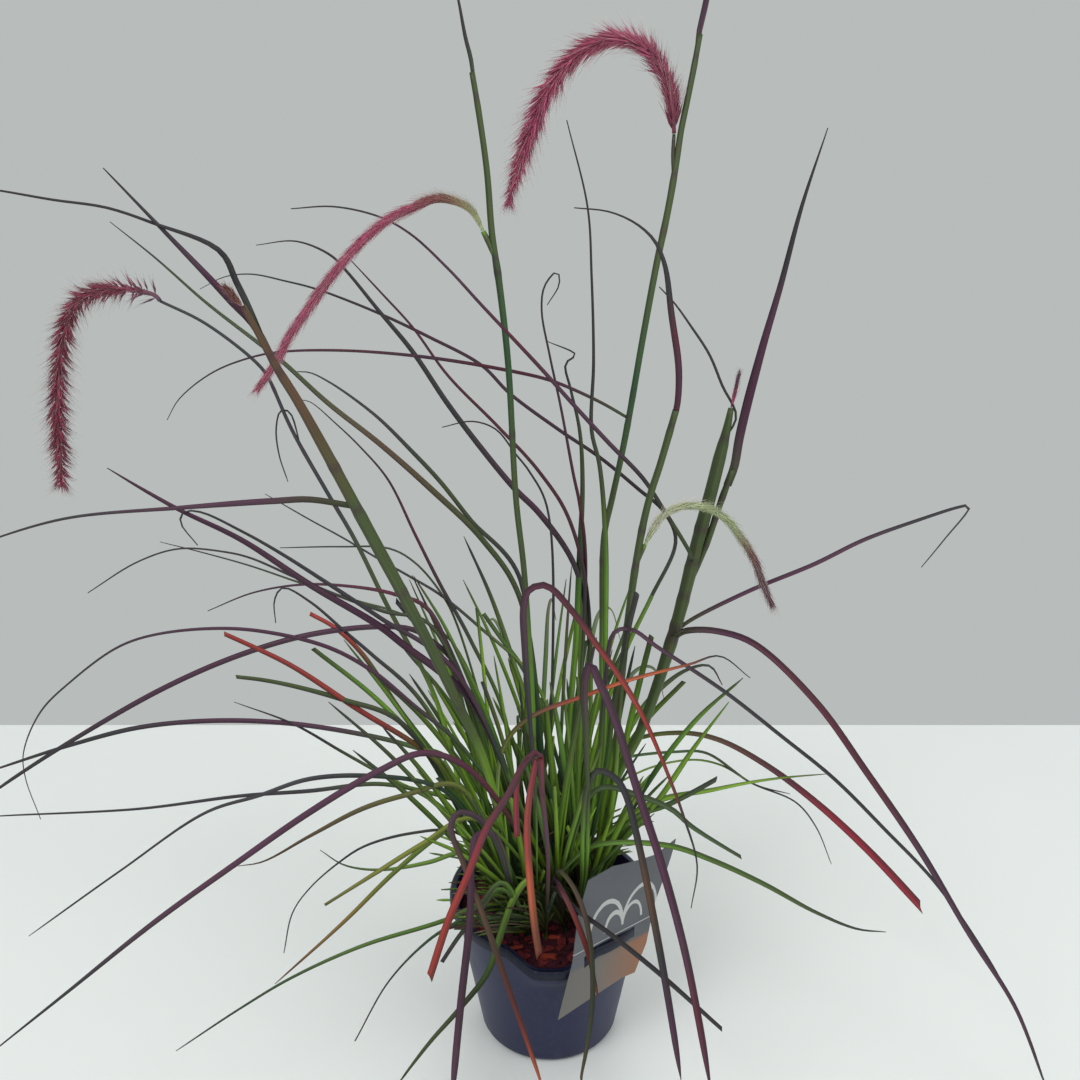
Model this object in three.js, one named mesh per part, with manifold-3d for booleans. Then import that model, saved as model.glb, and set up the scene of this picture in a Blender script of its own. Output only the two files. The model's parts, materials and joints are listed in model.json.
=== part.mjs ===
// Purple fountain grass in a round nursery pot, in millimetres, +Z up.
// The origin is the middle of the pot's underside.
import * as THREE from 'three';
import { mergeVertices } from 'three/addons/utils/BufferGeometryUtils.js';
import Module from 'manifold-3d';

// Driving dimensions of the pot
const POT_HEIGHT = 148;
const POT_BASE_RADIUS = 67;
const POT_NECK_RADIUS = 89.5;
const LIP_RADIUS = 95;
const LIP_DEPTH = 9;
const WALL = 2;
const FLOOR_THICKNESS = 3;
const BASE_ROUNDING = 8;
const DIP_DEPTH = 18;
const DIP_HALF_WIDTH = 0.46;
const DIP_REACH_DOWN = 50;
const DRAIN_HOLES = 8;
const DRAIN_RADIUS = 5;
const DRAIN_CIRCLE = 44;

// Driving dimensions of the soil
const SOIL_MIDDLE_HEIGHT = 134;
const SOIL_FALL = 9;
const CHIP_COUNT = 16;
const CHIP_LENGTH = 15;
const ROOT_DEPTH = 11;
const FIT = 0.35;

// Driving dimensions of the tag
const TAG_DISTANCE = 90.8;
const TAG_THICKNESS = 0.8;
const TAG_TURN = THREE.MathUtils.degToRad(-54);

// Driving dimensions of the clump: stems stand one behind the other, each in a layer of its own
const CROWN_HEIGHT = 140;
const LAYER_SPREAD = 0.0105;
const FORE_LAYER = -36;
const REAR_LAYER = 14;
const FOOT_RISE = 5;
const LEAF_STEP = 13;
const SHORT_SHOOT = [60, 170];
const TALL_SHOOT = [150, 290];

// Driving dimensions of the blades and stalks
const BLADE_KEEL = 1.5;
const TIP_WIDTH = 1.2;
const ROOT_WIDTH = 3;
const BLADE_TILT = THREE.MathUtils.degToRad(48);
const FORE_TILT = 0.3;
const LAYER_FILL = 0.84;
const SEGMENT_LENGTH = 60;
const FORE_SEGMENT = 42;
const STALK_SEGMENT = 70;
const SHOOT_SEGMENT = 100;
const MOST_STEPS = 12;

// The eye that reads the leaf courses: its place, its downward look and its focal length in picture points
const EYE = new THREE.Vector3(-9, -860, 808);
const LOOK_DOWN = THREE.MathUtils.degToRad(19.7);
const FOCAL = 1081;
const MIDDLE = 540;

// Every random draw comes from this seed
let seed = 20;
function draw(low, high) {
  seed = (seed * 1664525 + 1013904223) % 4294967296;
  return low + (high - low) * (seed / 4294967296);
}

// Solids: joining and cutting

const wasm = await Module();
wasm.setup();

function toSolid(geometry) {
  const bare = geometry.clone();
  bare.deleteAttribute('normal');
  bare.deleteAttribute('uv');
  const merged = mergeVertices(bare, 1e-4);
  return new wasm.Manifold(new wasm.Mesh({
    numProp: 3,
    vertProperties: new Float32Array(merged.getAttribute('position').array),
    triVerts: new Uint32Array(merged.getIndex().array),
  }));
}

function toGeometry(solid) {
  const mesh = solid.getMesh();
  const geometry = new THREE.BufferGeometry();
  geometry.setAttribute('position', new THREE.BufferAttribute(mesh.vertProperties, 3));
  geometry.setIndex(new THREE.BufferAttribute(mesh.triVerts, 1));
  geometry.computeVertexNormals();
  return geometry;
}

// One closed body: a sealed hollow is filled and a loose scrap dropped
function fuse(geometries) {
  const whole = geometries.map(toSolid).reduce((sum, piece) => sum.add(piece));
  return whole.decompose().reduce((best, body) => (body.volume() > best.volume() ? body : best));
}

// Sight: a picture point and a depth give a place

function placeAt(px, py, depth) {
  const across = (px - MIDDLE) / FOCAL;
  const down = (py - MIDDLE) / FOCAL;
  const ray = new THREE.Vector3(
    across,
    Math.cos(LOOK_DOWN) - down * Math.sin(LOOK_DOWN),
    -Math.sin(LOOK_DOWN) - down * Math.cos(LOOK_DOWN),
  );
  return EYE.clone().addScaledVector(ray, (depth - EYE.y) / ray.y);
}

function crownDistance(place) {
  return Math.hypot(place.x, place.z - CROWN_HEIGHT);
}

function layerGrowth(place) {
  return 1 + LAYER_SPREAD * crownDistance(place);
}

// A place in a layer. A listed depth counts where it is given, but on a front stem only if it is nearer.
function placeInLayer(layer, [px, py, depth]) {
  let place = placeAt(px, py, layer);
  for (let round = 0; round < 30; round += 1) {
    place = placeAt(px, py, layer * layerGrowth(place));
  }
  const ownDepth = depth !== undefined && (layer > FORE_LAYER || depth < place.y);
  return ownDepth ? placeAt(px, py, depth) : place;
}

// The way that a layer faces at a place: about along Y, turned with the layer's cone
function layerFacing(layer, place) {
  const distance = Math.max(crownDistance(place), 1);
  const slope = layer * LAYER_SPREAD;
  return new THREE.Vector3(
    (-slope * place.x) / distance,
    1,
    (-slope * (place.z - CROWN_HEIGHT)) / distance,
  ).normalize();
}

// Stations along a strand, as shares of its length: evenly spaced past a straight foot in the soil
function stationsOf(curve, strand, footed) {
  const length = curve.getLength();
  const spacing = strand.segment ?? (strand.fore ? FORE_SEGMENT : SEGMENT_LENGTH);
  const foot = footed ? (ROOT_DEPTH + FOOT_RISE) / length : 0;
  const steps = Math.min(Math.max(Math.round((length * (1 - foot)) / spacing), 2), MOST_STEPS);
  const stations = footed ? [0] : [];
  for (let i = 0; i <= steps; i += 1) {
    stations.push(foot + (1 - foot) * (i / steps));
  }
  return stations;
}

// Splits each side face of a bent prism along the diagonal that bulges outwards, so that a face that twists
// never sinks through the one behind it
function splitOutwards(prism, faces) {
  const index = prism.getIndex();
  const positions = prism.getAttribute('position');
  const at = (slot) => new THREE.Vector3().fromBufferAttribute(positions, index.getX(slot));
  for (let face = 0; face < faces; face += 1) {
    const first = face * 6;
    const [a, b, c, d] = [at(first), at(first + 1), at(first + 4), at(first + 2)];
    const outward = b.clone().sub(a).cross(d.clone().sub(a));
    const bulge = b.add(d).sub(a).sub(c);
    if (bulge.dot(outward) < 0) {
      const third = index.getX(first + 4);
      index.setX(first + 2, third);
      index.setX(first + 3, index.getX(first));
    }
  }
}

// Bends a closed prism along a curve. section(along, place) gives the width, the depth and the turn there.
function sweep(curve, sides, stations, facingAt, section) {
  const steps = stations.length - 1;
  const prism = new THREE.CylinderGeometry(1, 1, 1, sides, steps);
  const positions = prism.getAttribute('position');
  const facing = new THREE.Vector3();
  const side = new THREE.Vector3();
  const corner = new THREE.Vector3();
  for (let i = 0; i < positions.count; i += 1) {
    const along = stations[Math.round((positions.getY(i) + 0.5) * steps)];
    const place = curve.getPointAt(along);
    const tangent = curve.getTangentAt(along);
    const { width, depth, turn } = section(along, place);
    facing.copy(facingAt(place));
    facing.addScaledVector(tangent, -facing.dot(tangent)).normalize();
    facing.applyAxisAngle(tangent, turn);
    side.crossVectors(tangent, facing);
    corner.copy(place);
    corner.addScaledVector(side, positions.getX(i) * width);
    corner.addScaledVector(facing, positions.getZ(i) * depth);
    positions.setXYZ(i, corner.x, corner.y, corner.z);
  }
  splitOutwards(prism, sides * steps);
  return prism;
}

function smooth(low, high, value) {
  return THREE.MathUtils.smoothstep(value, low, high);
}

// A blade: three-sided, flat on one face and keeled on the other, wide early and narrow at its tip. It is
// turned out of its layer as far as the layer has room, upwards on the side that it arches to.
function bladeGeometry(stem, strand, points) {
  const curve = new THREE.CatmullRomCurve3(points, false, 'centripetal');
  const stations = stationsOf(curve, strand, strand === stem.strands[0]);
  const way = strand.fore || points[points.length - 1].x < points[0].x ? 1 : -1;
  const lean = way * (strand.lean ?? 1);
  const startWidth = Math.min(strand.from ? strand.width * 0.55 : ROOT_WIDTH, strand.width);
  const facingAt = (place) => layerFacing(strand.fore ? 0 : stem.layer, place);
  return sweep(curve, 3, stations, facingAt, (along, place) => {
    const room = LAYER_FILL * stem.room * layerGrowth(place);
    const free = Math.asin(Math.min(room / strand.width, 1)) * 0.85;
    const tilt = strand.fore ? FORE_TILT : Math.min(BLADE_TILT, free);
    const grown = startWidth + (strand.width - startWidth) * smooth(0.02, 0.34, along);
    const taper = strand.cut ? 1 : 1 - smooth(0.5, 1.02, along);
    const width = TIP_WIDTH + (grown - TIP_WIDTH) * taper;
    return {
      width: width / Math.sqrt(3),
      depth: (BLADE_KEEL * (0.75 + 0.25 * taper)) / 1.5,
      turn: tilt * lean * smooth(0.05, 0.3, along),
    };
  });
}

// A stalk: round, with radii listed evenly from its foot to its end
function stalkGeometry(stem, strand, points) {
  const curve = new THREE.CatmullRomCurve3(points, false, 'centripetal');
  const stations = stationsOf(curve, strand, strand === stem.strands[0]);
  const last = strand.radii.length - 1;
  return sweep(curve, 5, stations, (place) => layerFacing(stem.layer, place), (along) => {
    const index = Math.min(Math.floor(along * last), last - 1);
    const share = along * last - index;
    const radius = THREE.MathUtils.lerp(strand.radii[index], strand.radii[index + 1], share);
    return { width: radius, depth: radius, turn: 0 };
  });
}

// Courses of the leaves and stalks, foot to tip, as picture points. A third number is a depth of its own.
// width: the blade's greatest width; cut: the tip is cut square; from: it leaves a stalk, the first one
// or its host; fore: it hangs in front

const leaf = (width, course, traits = {}) => ({ width, course, ...traits });
const stalk = (radii, course, traits = {}) => ({ radii, course, segment: STALK_SEGMENT, ...traits });

const FORE = { fore: true };
const FORE_CUT = { fore: true, cut: true };
const OFF_STALK = { from: true };
const OFF_SIDE_STALK = { from: true, host: 1 };

const STEMS = [
  {
    name: 'leafy_stem_folded', rootX: -4, room: 3,
    strands: [
      leaf(7, [[548, 862, -62], [542, 795, -68], [537, 752, -74], [527, 760, -84], [508, 795, -96],
        [487, 828, -106], [468, 875, -118], [448, 922, -126], [430, 977, -134]], FORE_CUT),
      leaf(7, [[542, 796], [539, 756, -158], [532, 780, -150], [527, 825, -140], [530, 882, -120],
        [535, 930, -106], [539, 955, -98]], { ...FORE_CUT, from: true }),
      leaf(5.5, [[530, 757, -80], [519, 774, -92], [516, 800, -97], [517, 836, -99]],
        { ...FORE_CUT, from: true }),
    ],
  },
  {
    name: 'leafy_stem_hanging_green', rootX: -20, room: 3,
    strands: [
      leaf(7, [[528, 880, -68], [513, 900, -78], [499, 940, -95], [488, 972, -106], [462, 1006, -116],
        [430, 1042, -128], [401, 1080, -140], [397, 1086, -141]], FORE),
      leaf(4.5, [[500, 882, -66], [480, 905, -76], [465, 917, -84], [430, 939, -98], [389, 981, -112],
        [355, 1041, -124]], FORE_CUT),
      leaf(4.5, [[498, 888, -68], [480, 912, -80], [463, 931, -92], [451, 948, -98], [442, 962, -102]],
        FORE_CUT),
    ],
  },
  {
    name: 'leafy_stem_hanging_left', rootX: -32, room: 3,
    strands: [
      leaf(7.5, [[505, 856, -60], [489, 832, -76], [478, 834, -86], [472, 860, -96], [470, 919, -114],
        [461, 1005, -130], [454, 1080, -140], [452, 1100, -142]], FORE),
      leaf(6, [[500, 850, -58], [478, 817, -70], [460, 811, -80], [451, 824, -88], [465, 867, -101],
        [482, 912, -112], [506, 981, -120], [530, 1050, -126], [540, 1080, -129], [543, 1094, -130]], FORE),
    ],
  },
  {
    name: 'leafy_stem_hanging_right', rootX: 14, room: 3,
    strands: [
      leaf(4.5, [[556, 888, -80], [575, 908, -96], [609, 933, -110], [660, 974, -126], [722, 1029, -140]],
        FORE_CUT),
      leaf(5.5, [[556, 880, -78], [566, 898, -92], [577, 922, -104], [588, 953, -114],
        [598, 998, -122]], FORE),
      leaf(5, [[560, 870, -74], [572, 885, -90], [584, 912, -106], [591, 950, -117], [592, 1005, -126],
        [586, 1050, -131], [581, 1080, -134], [583, 1087, -134]], FORE),
    ],
  },
  {
    name: 'leafy_stem_sweeping', rootX: -12, room: 3,
    strands: [
      leaf(5.5, [[536, 800, -60], [530, 720, -76], [525, 650, -92], [524, 604, -100], [530, 589, -106],
        [545, 585, -112], [573, 612, -122], [596, 644, -132], [621, 679, -142], [646, 723, -152],
        [672, 785, -164], [684, 818, -168], [697, 865, -172], [691, 908, -176]], FORE),
    ],
  },
  {
    name: 'leafy_stem_sweeping_right', rootX: 24, room: 3,
    strands: [
      leaf(7.5, [[586, 872], [588, 800, -62], [586, 730, -72], [585, 680, -80], [590, 664, -88],
        [600, 684, -98], [614, 717, -110], [640, 799, -128], [660, 860, -140], [685, 953, -154],
        [709, 1080, -170], [711, 1094, -172]], FORE),
      leaf(7, [[582, 876], [583, 830], [588, 785, -74], [599, 770, -86], [614, 777, -98], [625, 793, -106],
        [637, 837, -116], [660, 953, -138], [681, 1080, -154]], FORE),
    ],
  },
  {
    name: 'leafy_stem_low_a', rootX: -18, room: 2.8,
    strands: [
      leaf(5, [[516, 888], [448, 919], [362, 946], [293, 977], [241, 1008], [176, 1051]]),
      leaf(5.5, [[585, 850], [609, 843], [671, 846], [712, 860], [764, 884], [815, 912], [857, 929],
        [886, 932]]),
    ],
  },
  {
    name: 'leafy_stem_low_b', rootX: 10, room: 2.8,
    strands: [
      leaf(6.5, [[470, 770], [424, 753], [379, 771], [310, 812], [241, 860], [155, 922], [69, 991],
        [0, 1046], [-22, 1064]]),
      leaf(5.5, [[600, 788], [640, 796], [671, 809], [691, 826], [729, 850], [741, 857]], { cut: true }),
      leaf(5, [[470, 818], [424, 843], [379, 871], [325, 905]], { cut: true }),
    ],
  },
  {
    name: 'leafy_stem_low_c', rootX: -34, room: 2.8,
    strands: [
      leaf(5, [[455, 785], [406, 795], [362, 809], [310, 836], [262, 862], [238, 866]]),
      leaf(5, [[478, 815], [448, 829], [396, 871], [344, 922], [275, 984]]),
      leaf(4.5, [[455, 800], [430, 784], [372, 776], [310, 779], [258, 796], [207, 812], [120, 871],
        [29, 936]]),
      leaf(3, [[455, 832], [413, 833], [365, 846], [337, 864], [310, 888], [293, 912], [284, 953]]),
    ],
  },
  {
    name: 'leafy_stem_low_d', rootX: 30, room: 2.8,
    strands: [
      leaf(5.5, [[620, 845, -50], [660, 798], [695, 747], [729, 702]]),
      leaf(5, [[603, 848, -48], [640, 815], [665, 806], [688, 795], [717, 779]], { cut: true }),
    ],
  },
  {
    name: 'flower_stem_left', rootX: -26, room: 5,
    strands: [
      stalk([2.2, 2.6, 3.4, 4.2, 4.6, 3.8, 1.8], [[482, 755], [457, 702], [432, 650], [405, 598], [378, 548],
        [352, 500], [325, 450], [297, 400], [277, 368], [259, 335], [243, 306]]),
      leaf(4.5, [[268, 352], [250, 310, -150], [236, 282, -148], [217, 249], [155, 224], [107, 208],
        [52, 200], [0, 191], [-35, 186]], OFF_STALK),
      leaf(5.5, [[282, 372], [254, 326, -146], [232, 303, -148], [206, 275], [155, 222],
        [103, 168]], OFF_STALK),
      leaf(5, [[352, 507], [310, 499], [275, 501], [179, 508], [69, 518], [0, 537],
        [-28, 548]], OFF_STALK),
    ],
  },
  {
    name: 'leafy_stem_thick', rootX: 6, room: 2.8,
    strands: [
      leaf(7, [[470, 700], [440, 672], [406, 647], [379, 626], [310, 585], [241, 540], [179, 510],
        [140, 488], [107, 468]]),
      leaf(4.5, [[452, 668], [380, 618], [330, 585], [280, 553], [241, 531], [200, 512], [184, 512],
        [181, 522], [198, 545]]),
      leaf(6, [[600, 840], [654, 802], [712, 790], [747, 783], [781, 778], [826, 774]]),
    ],
  },
  {
    name: 'leafy_stem_red', rootX: -42, room: 2.8,
    strands: [
      leaf(5, [[440, 765], [413, 743], [362, 712], [293, 667], [255, 648], [224, 634]], { cut: true }),
      leaf(5, [[400, 722], [344, 700], [293, 686], [262, 680], [236, 677]], { cut: true }),
      leaf(4.5, [[498, 800], [503, 750], [518, 727], [540, 712], [581, 697], [626, 681], [671, 669],
        [691, 664], [719, 656], [750, 678]]),
    ],
  },
  {
    name: 'leafy_stem_long_right', rootX: 26, room: 2.8,
    strands: [
      leaf(4, [[600, 760], [606, 680], [615, 632], [630, 629], [657, 647], [688, 667], [729, 695],
        [781, 736], [833, 778], [884, 829], [936, 884], [988, 960], [1015, 1008]]),
      leaf(5, [[606, 770], [615, 700], [624, 660], [630, 625], [638, 593]], { cut: true }),
      leaf(4.5, [[520, 840], [460, 802], [430, 793], [379, 784], [310, 791], [241, 796], [138, 809],
        [0, 816], [-24, 818]]),
    ],
  },
  {
    name: 'flower_stem_pale', rootX: 38, room: 5,
    strands: [
      stalk([2, 2.6, 3, 3, 2.6], [[612, 800], [618, 720], [628, 620], [640, 540], [650, 496], [660, 465],
        [676, 410]]),
      stalk([2, 1.6], [[636, 565], [640, 555], [645, 545]], OFF_STALK),
      leaf(5.5, [[672, 424], [677, 405], [678, 372], [670, 310], [664, 265], [654, 241], [636, 224],
        [609, 212], [574, 208]], OFF_STALK),
    ],
  },
  {
    name: 'flower_stem_right', rootX: 46, room: 5,
    strands: [
      stalk([2.2, 2.7, 3.2, 3.7, 4.2, 4.5, 4.8, 5, 5.2, 5.4, 5.4, 5, 2.2], [[612, 790], [640, 732],
        [655, 692], [668, 652], [679, 615], [688, 580], [696, 548], [704, 518], [712, 488],
        [719, 460], [727, 428], [731, 408]]),
      stalk([2, 2.7, 2.4], [[686, 596], [697, 567], [708, 540], [720, 504], [733, 469]], OFF_STALK),
      leaf(8, [[727, 486], [734, 466], [739, 440], [747, 408], [764, 344], [781, 286], [802, 207],
        [828, 128]], OFF_SIDE_STALK),
      leaf(2, [[727, 440], [736, 417], [722, 386], [709, 355], [691, 327], [674, 303], [659, 287]],
        OFF_STALK),
      leaf(4, [[678, 634], [690, 620], [747, 592], [815, 564], [864, 540], [919, 520], [960, 507],
        [969, 506], [943, 540], [921, 567]], OFF_STALK),
      leaf(6, [[676, 638], [690, 629, -42], [719, 631, -48], [753, 643, -54], [815, 702, -62],
        [867, 774, -72], [919, 850, -82], [970, 936, -94], [1015, 1008, -104], [1043, 1080, -118],
        [1048, 1092, -120]], OFF_STALK),
      leaf(4, [[694, 562], [688, 549, -40], [663, 509, -38], [643, 479, -36], [609, 444, -32],
        [574, 406, -28], [540, 368, -22], [482, 306, 4], [448, 269, 34], [410, 234, 58], [379, 217, 70],
        [334, 207, 78], [291, 209, 84]], OFF_STALK),
    ],
  },
  {
    name: 'leafy_stem_arching', rootX: 14, room: 2.8,
    strands: [
      leaf(4.5, [[460, 745], [413, 705], [372, 671], [327, 647], [258, 631], [205, 629], [150, 636],
        [117, 648], [72, 681], [41, 712], [24, 753], [26, 778], [41, 819]]),
      leaf(8.5, [[605, 800], [618, 752], [640, 738], [685, 733], [719, 740], [764, 764], [815, 802],
        [867, 850], [920, 907]], { cut: true }),
      leaf(5, [[480, 856], [458, 853], [430, 862], [379, 870], [344, 865], [320, 850]]),
    ],
  },
  {
    name: 'flower_stem_centre', rootX: -12, room: 5,
    strands: [
      stalk([2, 2.4, 2.6, 2.6, 2.8, 2.2], [[535, 800], [532, 694], [530, 656], [524, 570], [516, 499],
        [508, 362], [499, 282], [492, 234], [487, 172], [479, 114], [472, 72]]),
      stalk([2.2, 2], [[495, 256], [489, 243], [483, 231]], OFF_STALK),
      leaf(3.5, [[476, 95], [470, 58], [465, 38], [458, 0], [450, -34]], OFF_STALK),
    ],
  },
  {
    name: 'leafy_stem_curling', rootX: -30, room: 2.8,
    strands: [
      leaf(5.5, [[455, 665], [430, 640], [413, 630], [379, 627], [310, 635], [241, 655], [165, 688],
        [69, 743], [0, 788], [-24, 806]]),
      leaf(4.5, [[420, 700], [372, 655], [345, 632], [310, 602], [283, 588], [275, 600], [276, 623]]),
      leaf(4, [[430, 625], [385, 612], [344, 598], [296, 578], [250, 558], [224, 552], [179, 549],
        [138, 562], [88, 593]]),
    ],
  },
  {
    name: 'leafy_stem_upright', rootX: 22, room: 2.8,
    strands: [
      leaf(5, [[603, 760], [606, 640], [606, 540], [600, 465], [592, 430], [594, 362], [592, 275],
        [588, 207], [567, 120]]),
      leaf(5.5, [[606, 800], [622, 747], [640, 712], [654, 695], [685, 671], [709, 666], [722, 685]]),
    ],
  },
  {
    name: 'flower_stem_top', rootX: 6, room: 5,
    strands: [
      stalk([2, 2.6, 2.8, 2.8, 3, 2.4], [[598, 760], [602, 640], [604, 537], [612, 499], [621, 458],
        [629, 417], [643, 337], [657, 262], [666, 220], [671, 194], [677, 158], [681, 131], [687, 102],
        [694, 67], [700, 34]]),
      stalk([1.8, 1.4], [[671, 176], [673, 156], [674, 134]], OFF_STALK),
      leaf(5.5, [[697, 55], [700, 31], [707, 0], [713, -32]], OFF_STALK),
      leaf(3.5, [[632, 420], [628, 418], [602, 403], [561, 384], [540, 377], [482, 365], [413, 355],
        [344, 350], [286, 351], [255, 356], [213, 372], [179, 399], [167, 420]], OFF_STALK),
    ],
  },
  {
    name: 'leafy_stem_level', rootX: -46, room: 2.8,
    strands: [
      leaf(5.5, [[450, 760], [413, 747], [379, 738], [293, 724], [213, 721], [138, 728], [62, 748],
        [0, 768], [-22, 775]]),
      leaf(4.5, [[440, 806], [389, 778], [344, 753], [293, 724], [234, 702]]),
      leaf(4.5, [[430, 612], [396, 595], [344, 586], [300, 585], [253, 593], [208, 611]]),
    ],
  },
  {
    name: 'leafy_stem_middle', rootX: 18, room: 2.8,
    strands: [
      leaf(4, [[590, 620], [570, 520], [540, 472], [499, 427], [448, 375], [413, 327], [382, 293],
        [351, 260]]),
      leaf(4, [[586, 560], [580, 503], [574, 475], [561, 406], [550, 355], [542, 310], [545, 286],
        [557, 272], [559, 284], [547, 305]]),
    ],
  },
  {
    name: 'flower_stem_far_left', rootX: -24, room: 5,
    strands: [
      stalk([2, 2.4, 2.2, 1.8, 1.4], [[470, 850], [458, 781], [451, 747], [430, 685], [389, 609],
        [355, 540], [327, 492], [292, 430], [270, 381], [264, 371], [248, 355], [203, 322], [160, 301]]),
      leaf(1.8, [[300, 446], [290, 412], [281, 410], [276, 428], [279, 455], [288, 482]], OFF_STALK),
    ],
  },
  {
    name: 'leafy_stem_olive', rootX: 0, room: 2.8,
    strands: [
      leaf(6.5, [[520, 600], [482, 540], [430, 489], [379, 444], [327, 403], [282, 362], [255, 341],
        [206, 303], [155, 258], [110, 222]]),
      leaf(2.5, [[548, 510], [530, 472], [516, 454], [496, 429], [472, 421], [442, 427]]),
    ],
  },
  {
    name: 'leafy_stem_crossing', rootX: 34, room: 2.8,
    strands: [
      leaf(6.5, [[590, 640], [575, 565], [540, 513], [516, 489], [482, 448], [448, 403], [413, 351],
        [379, 310], [348, 272], [331, 255], [296, 241], [256, 245]]),
      leaf(6.5, [[566, 820], [568, 751], [572, 694], [577, 636], [580, 560], [583, 482], [580, 430],
        [571, 389], [566, 364], [576, 355], [547, 341]]),
    ],
  },
  {
    name: 'leafy_stem_long_left', rootX: -36, room: 2.8,
    strands: [
      leaf(4.5, [[520, 580], [470, 520], [440, 482], [410, 450], [380, 420], [355, 400], [330, 383],
        [310, 373], [295, 372]]),
      leaf(4, [[505, 720], [470, 640], [440, 585], [415, 535], [388, 480], [360, 447], [335, 423],
        [310, 402], [300, 400]]),
      leaf(5.5, [[440, 760], [400, 710], [362, 654], [335, 628], [310, 614]], { cut: true }),
    ],
  },
  {
    name: 'leafy_stem_slanting', rootX: -14, room: 2.8,
    strands: [
      leaf(4.5, [[663, 510], [640, 490], [600, 457], [560, 430], [510, 393], [482, 365], [430, 337],
        [379, 313], [317, 289], [286, 281], [251, 274], [224, 277], [200, 289]], { via: [[600, 700],
        [650, 600], [676, 540]] }),
    ],
  },
  {
    name: 'leafy_stem_low_right', rootX: 30, room: 2.8,
    strands: [
      leaf(3.5, [[590, 810], [600, 775], [620, 760], [678, 752], [705, 753], [753, 784], [790, 794]]),
      leaf(2, [[600, 800], [640, 772], [690, 760], [720, 765], [753, 784], [795, 802], [815, 826],
        [831, 864]]),
    ],
  },
  {
    name: 'leafy_stem_thin_left', rootX: -28, room: 2.8,
    strands: [
      leaf(3.5, [[548, 720], [530, 675], [480, 628], [440, 595], [410, 577], [380, 560], [341, 537],
        [310, 520], [265, 494]]),
      leaf(2.5, [[455, 620], [440, 592], [415, 563], [390, 549], [340, 547], [280, 548]]),
      leaf(2.5, [[450, 640], [395, 612], [360, 602], [300, 583], [250, 566], [200, 552], [160, 542]]),
    ],
  },
  {
    name: 'leafy_stem_cut', rootX: 10, room: 2.8,
    strands: [
      leaf(4.5, [[540, 760], [532, 690], [520, 665], [500, 638], [483, 614]], { cut: true }),
      leaf(4.5, [[535, 770], [525, 715], [508, 658]]),
    ],
  },
  {
    name: 'leafy_stem_back_left', rootX: -20, room: 2.8,
    strands: [
      leaf(5.5, [[530, 720, 140], [512, 660, 180], [496, 622, 260], [486, 622, 330]]),
      leaf(5.5, [[540, 740], [545, 660, 190], [548, 610, 290], [552, 600, 360], [556, 620, 400]]),
    ],
  },
  {
    name: 'leafy_stem_back_right', rootX: 8, room: 2.8,
    strands: [
      leaf(6, [[580, 720], [590, 650, 190], [600, 612, 290], [612, 612, 370], [620, 640, 410]]),
      leaf(5.5, [[600, 740], [622, 690, 170], [640, 668, 250], [656, 672, 320], [664, 700, 360]]),
    ],
  },
];

// Each stem takes its layer from its place in the list, the front one first
const CLUMP_DEPTH = STEMS.reduce((sum, stem) => sum + stem.room, 0);
let reached = -CLUMP_DEPTH / 2;
for (const stem of STEMS) {
  stem.layer = reached + stem.room / 2;
  reached += stem.room;
}

function soilHeight(radius) {
  return SOIL_MIDDLE_HEIGHT - SOIL_FALL * (radius / POT_NECK_RADIUS) ** 2;
}

function rootOf(stem) {
  const top = soilHeight(Math.hypot(stem.rootX, stem.layer));
  return new THREE.Vector3(stem.rootX, stem.layer, top);
}

// The first strand of a stem stands in the soil, and the others leave it one above the other.
// A strand off a stalk starts in the stalk's middle.
function strandPoints(stem, strand, index) {
  const listed = [...(strand.via ?? []), ...strand.course];
  const places = listed.map((point) => placeInLayer(stem.layer, point));
  if (strand.from) {
    places[0] = nearestOn(stem, strand.host ?? 0, places[0]);
    return places;
  }
  if (index > 0) {
    return [leadPlace(stem, LEAF_STEP * (index + 0.5)), ...places];
  }
  const root = rootOf(stem);
  return [root.clone().setZ(root.z - ROOT_DEPTH), root.clone().setZ(root.z + FOOT_RISE), ...places];
}

// The corners of a strand as it is built, foot to tip
function builtCorners(stem, index) {
  const strand = stem.strands[index];
  const points = strandPoints(stem, strand, index);
  const curve = new THREE.CatmullRomCurve3(points, false, 'centripetal');
  return stationsOf(curve, strand, index === 0).map((along) => curve.getPointAt(along));
}

function leadPlace(stem, distance) {
  const [, low, high] = builtCorners(stem, 0);
  return low.clone().lerp(high, (distance - FOOT_RISE) / low.distanceTo(high));
}

function nearestOn(stem, index, place) {
  const corners = builtCorners(stem, index);
  const spans = corners.slice(1).map((end, i) => new THREE.Line3(corners[i], end));
  const nearest = spans.map((span) => span.closestPointToPoint(place, true, new THREE.Vector3()));
  return nearest.reduce((best, one) => (one.distanceTo(place) < best.distanceTo(place) ? one : best));
}

// A young shoot at the foot of a stem, in the stem's own layer, leaning outwards
function shootGeometry(stem, [lowest, highest]) {
  const start = leadPlace(stem, 8);
  const height = draw(lowest, highest);
  const spread = draw(-0.4, 0.4) + stem.rootX / 130;
  const points = [start];
  for (const share of [0.4, 1]) {
    const place = new THREE.Vector3(
      start.x + Math.sin(spread) * height * share * (0.7 + 0.3 * share),
      0,
      start.z + Math.cos(spread) * height * share,
    );
    place.y = stem.layer * layerGrowth(place);
    points.push(place);
  }
  return bladeGeometry(stem, { width: draw(2.8, 4.6), lean: 0.5, segment: SHOOT_SEGMENT }, points);
}

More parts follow.
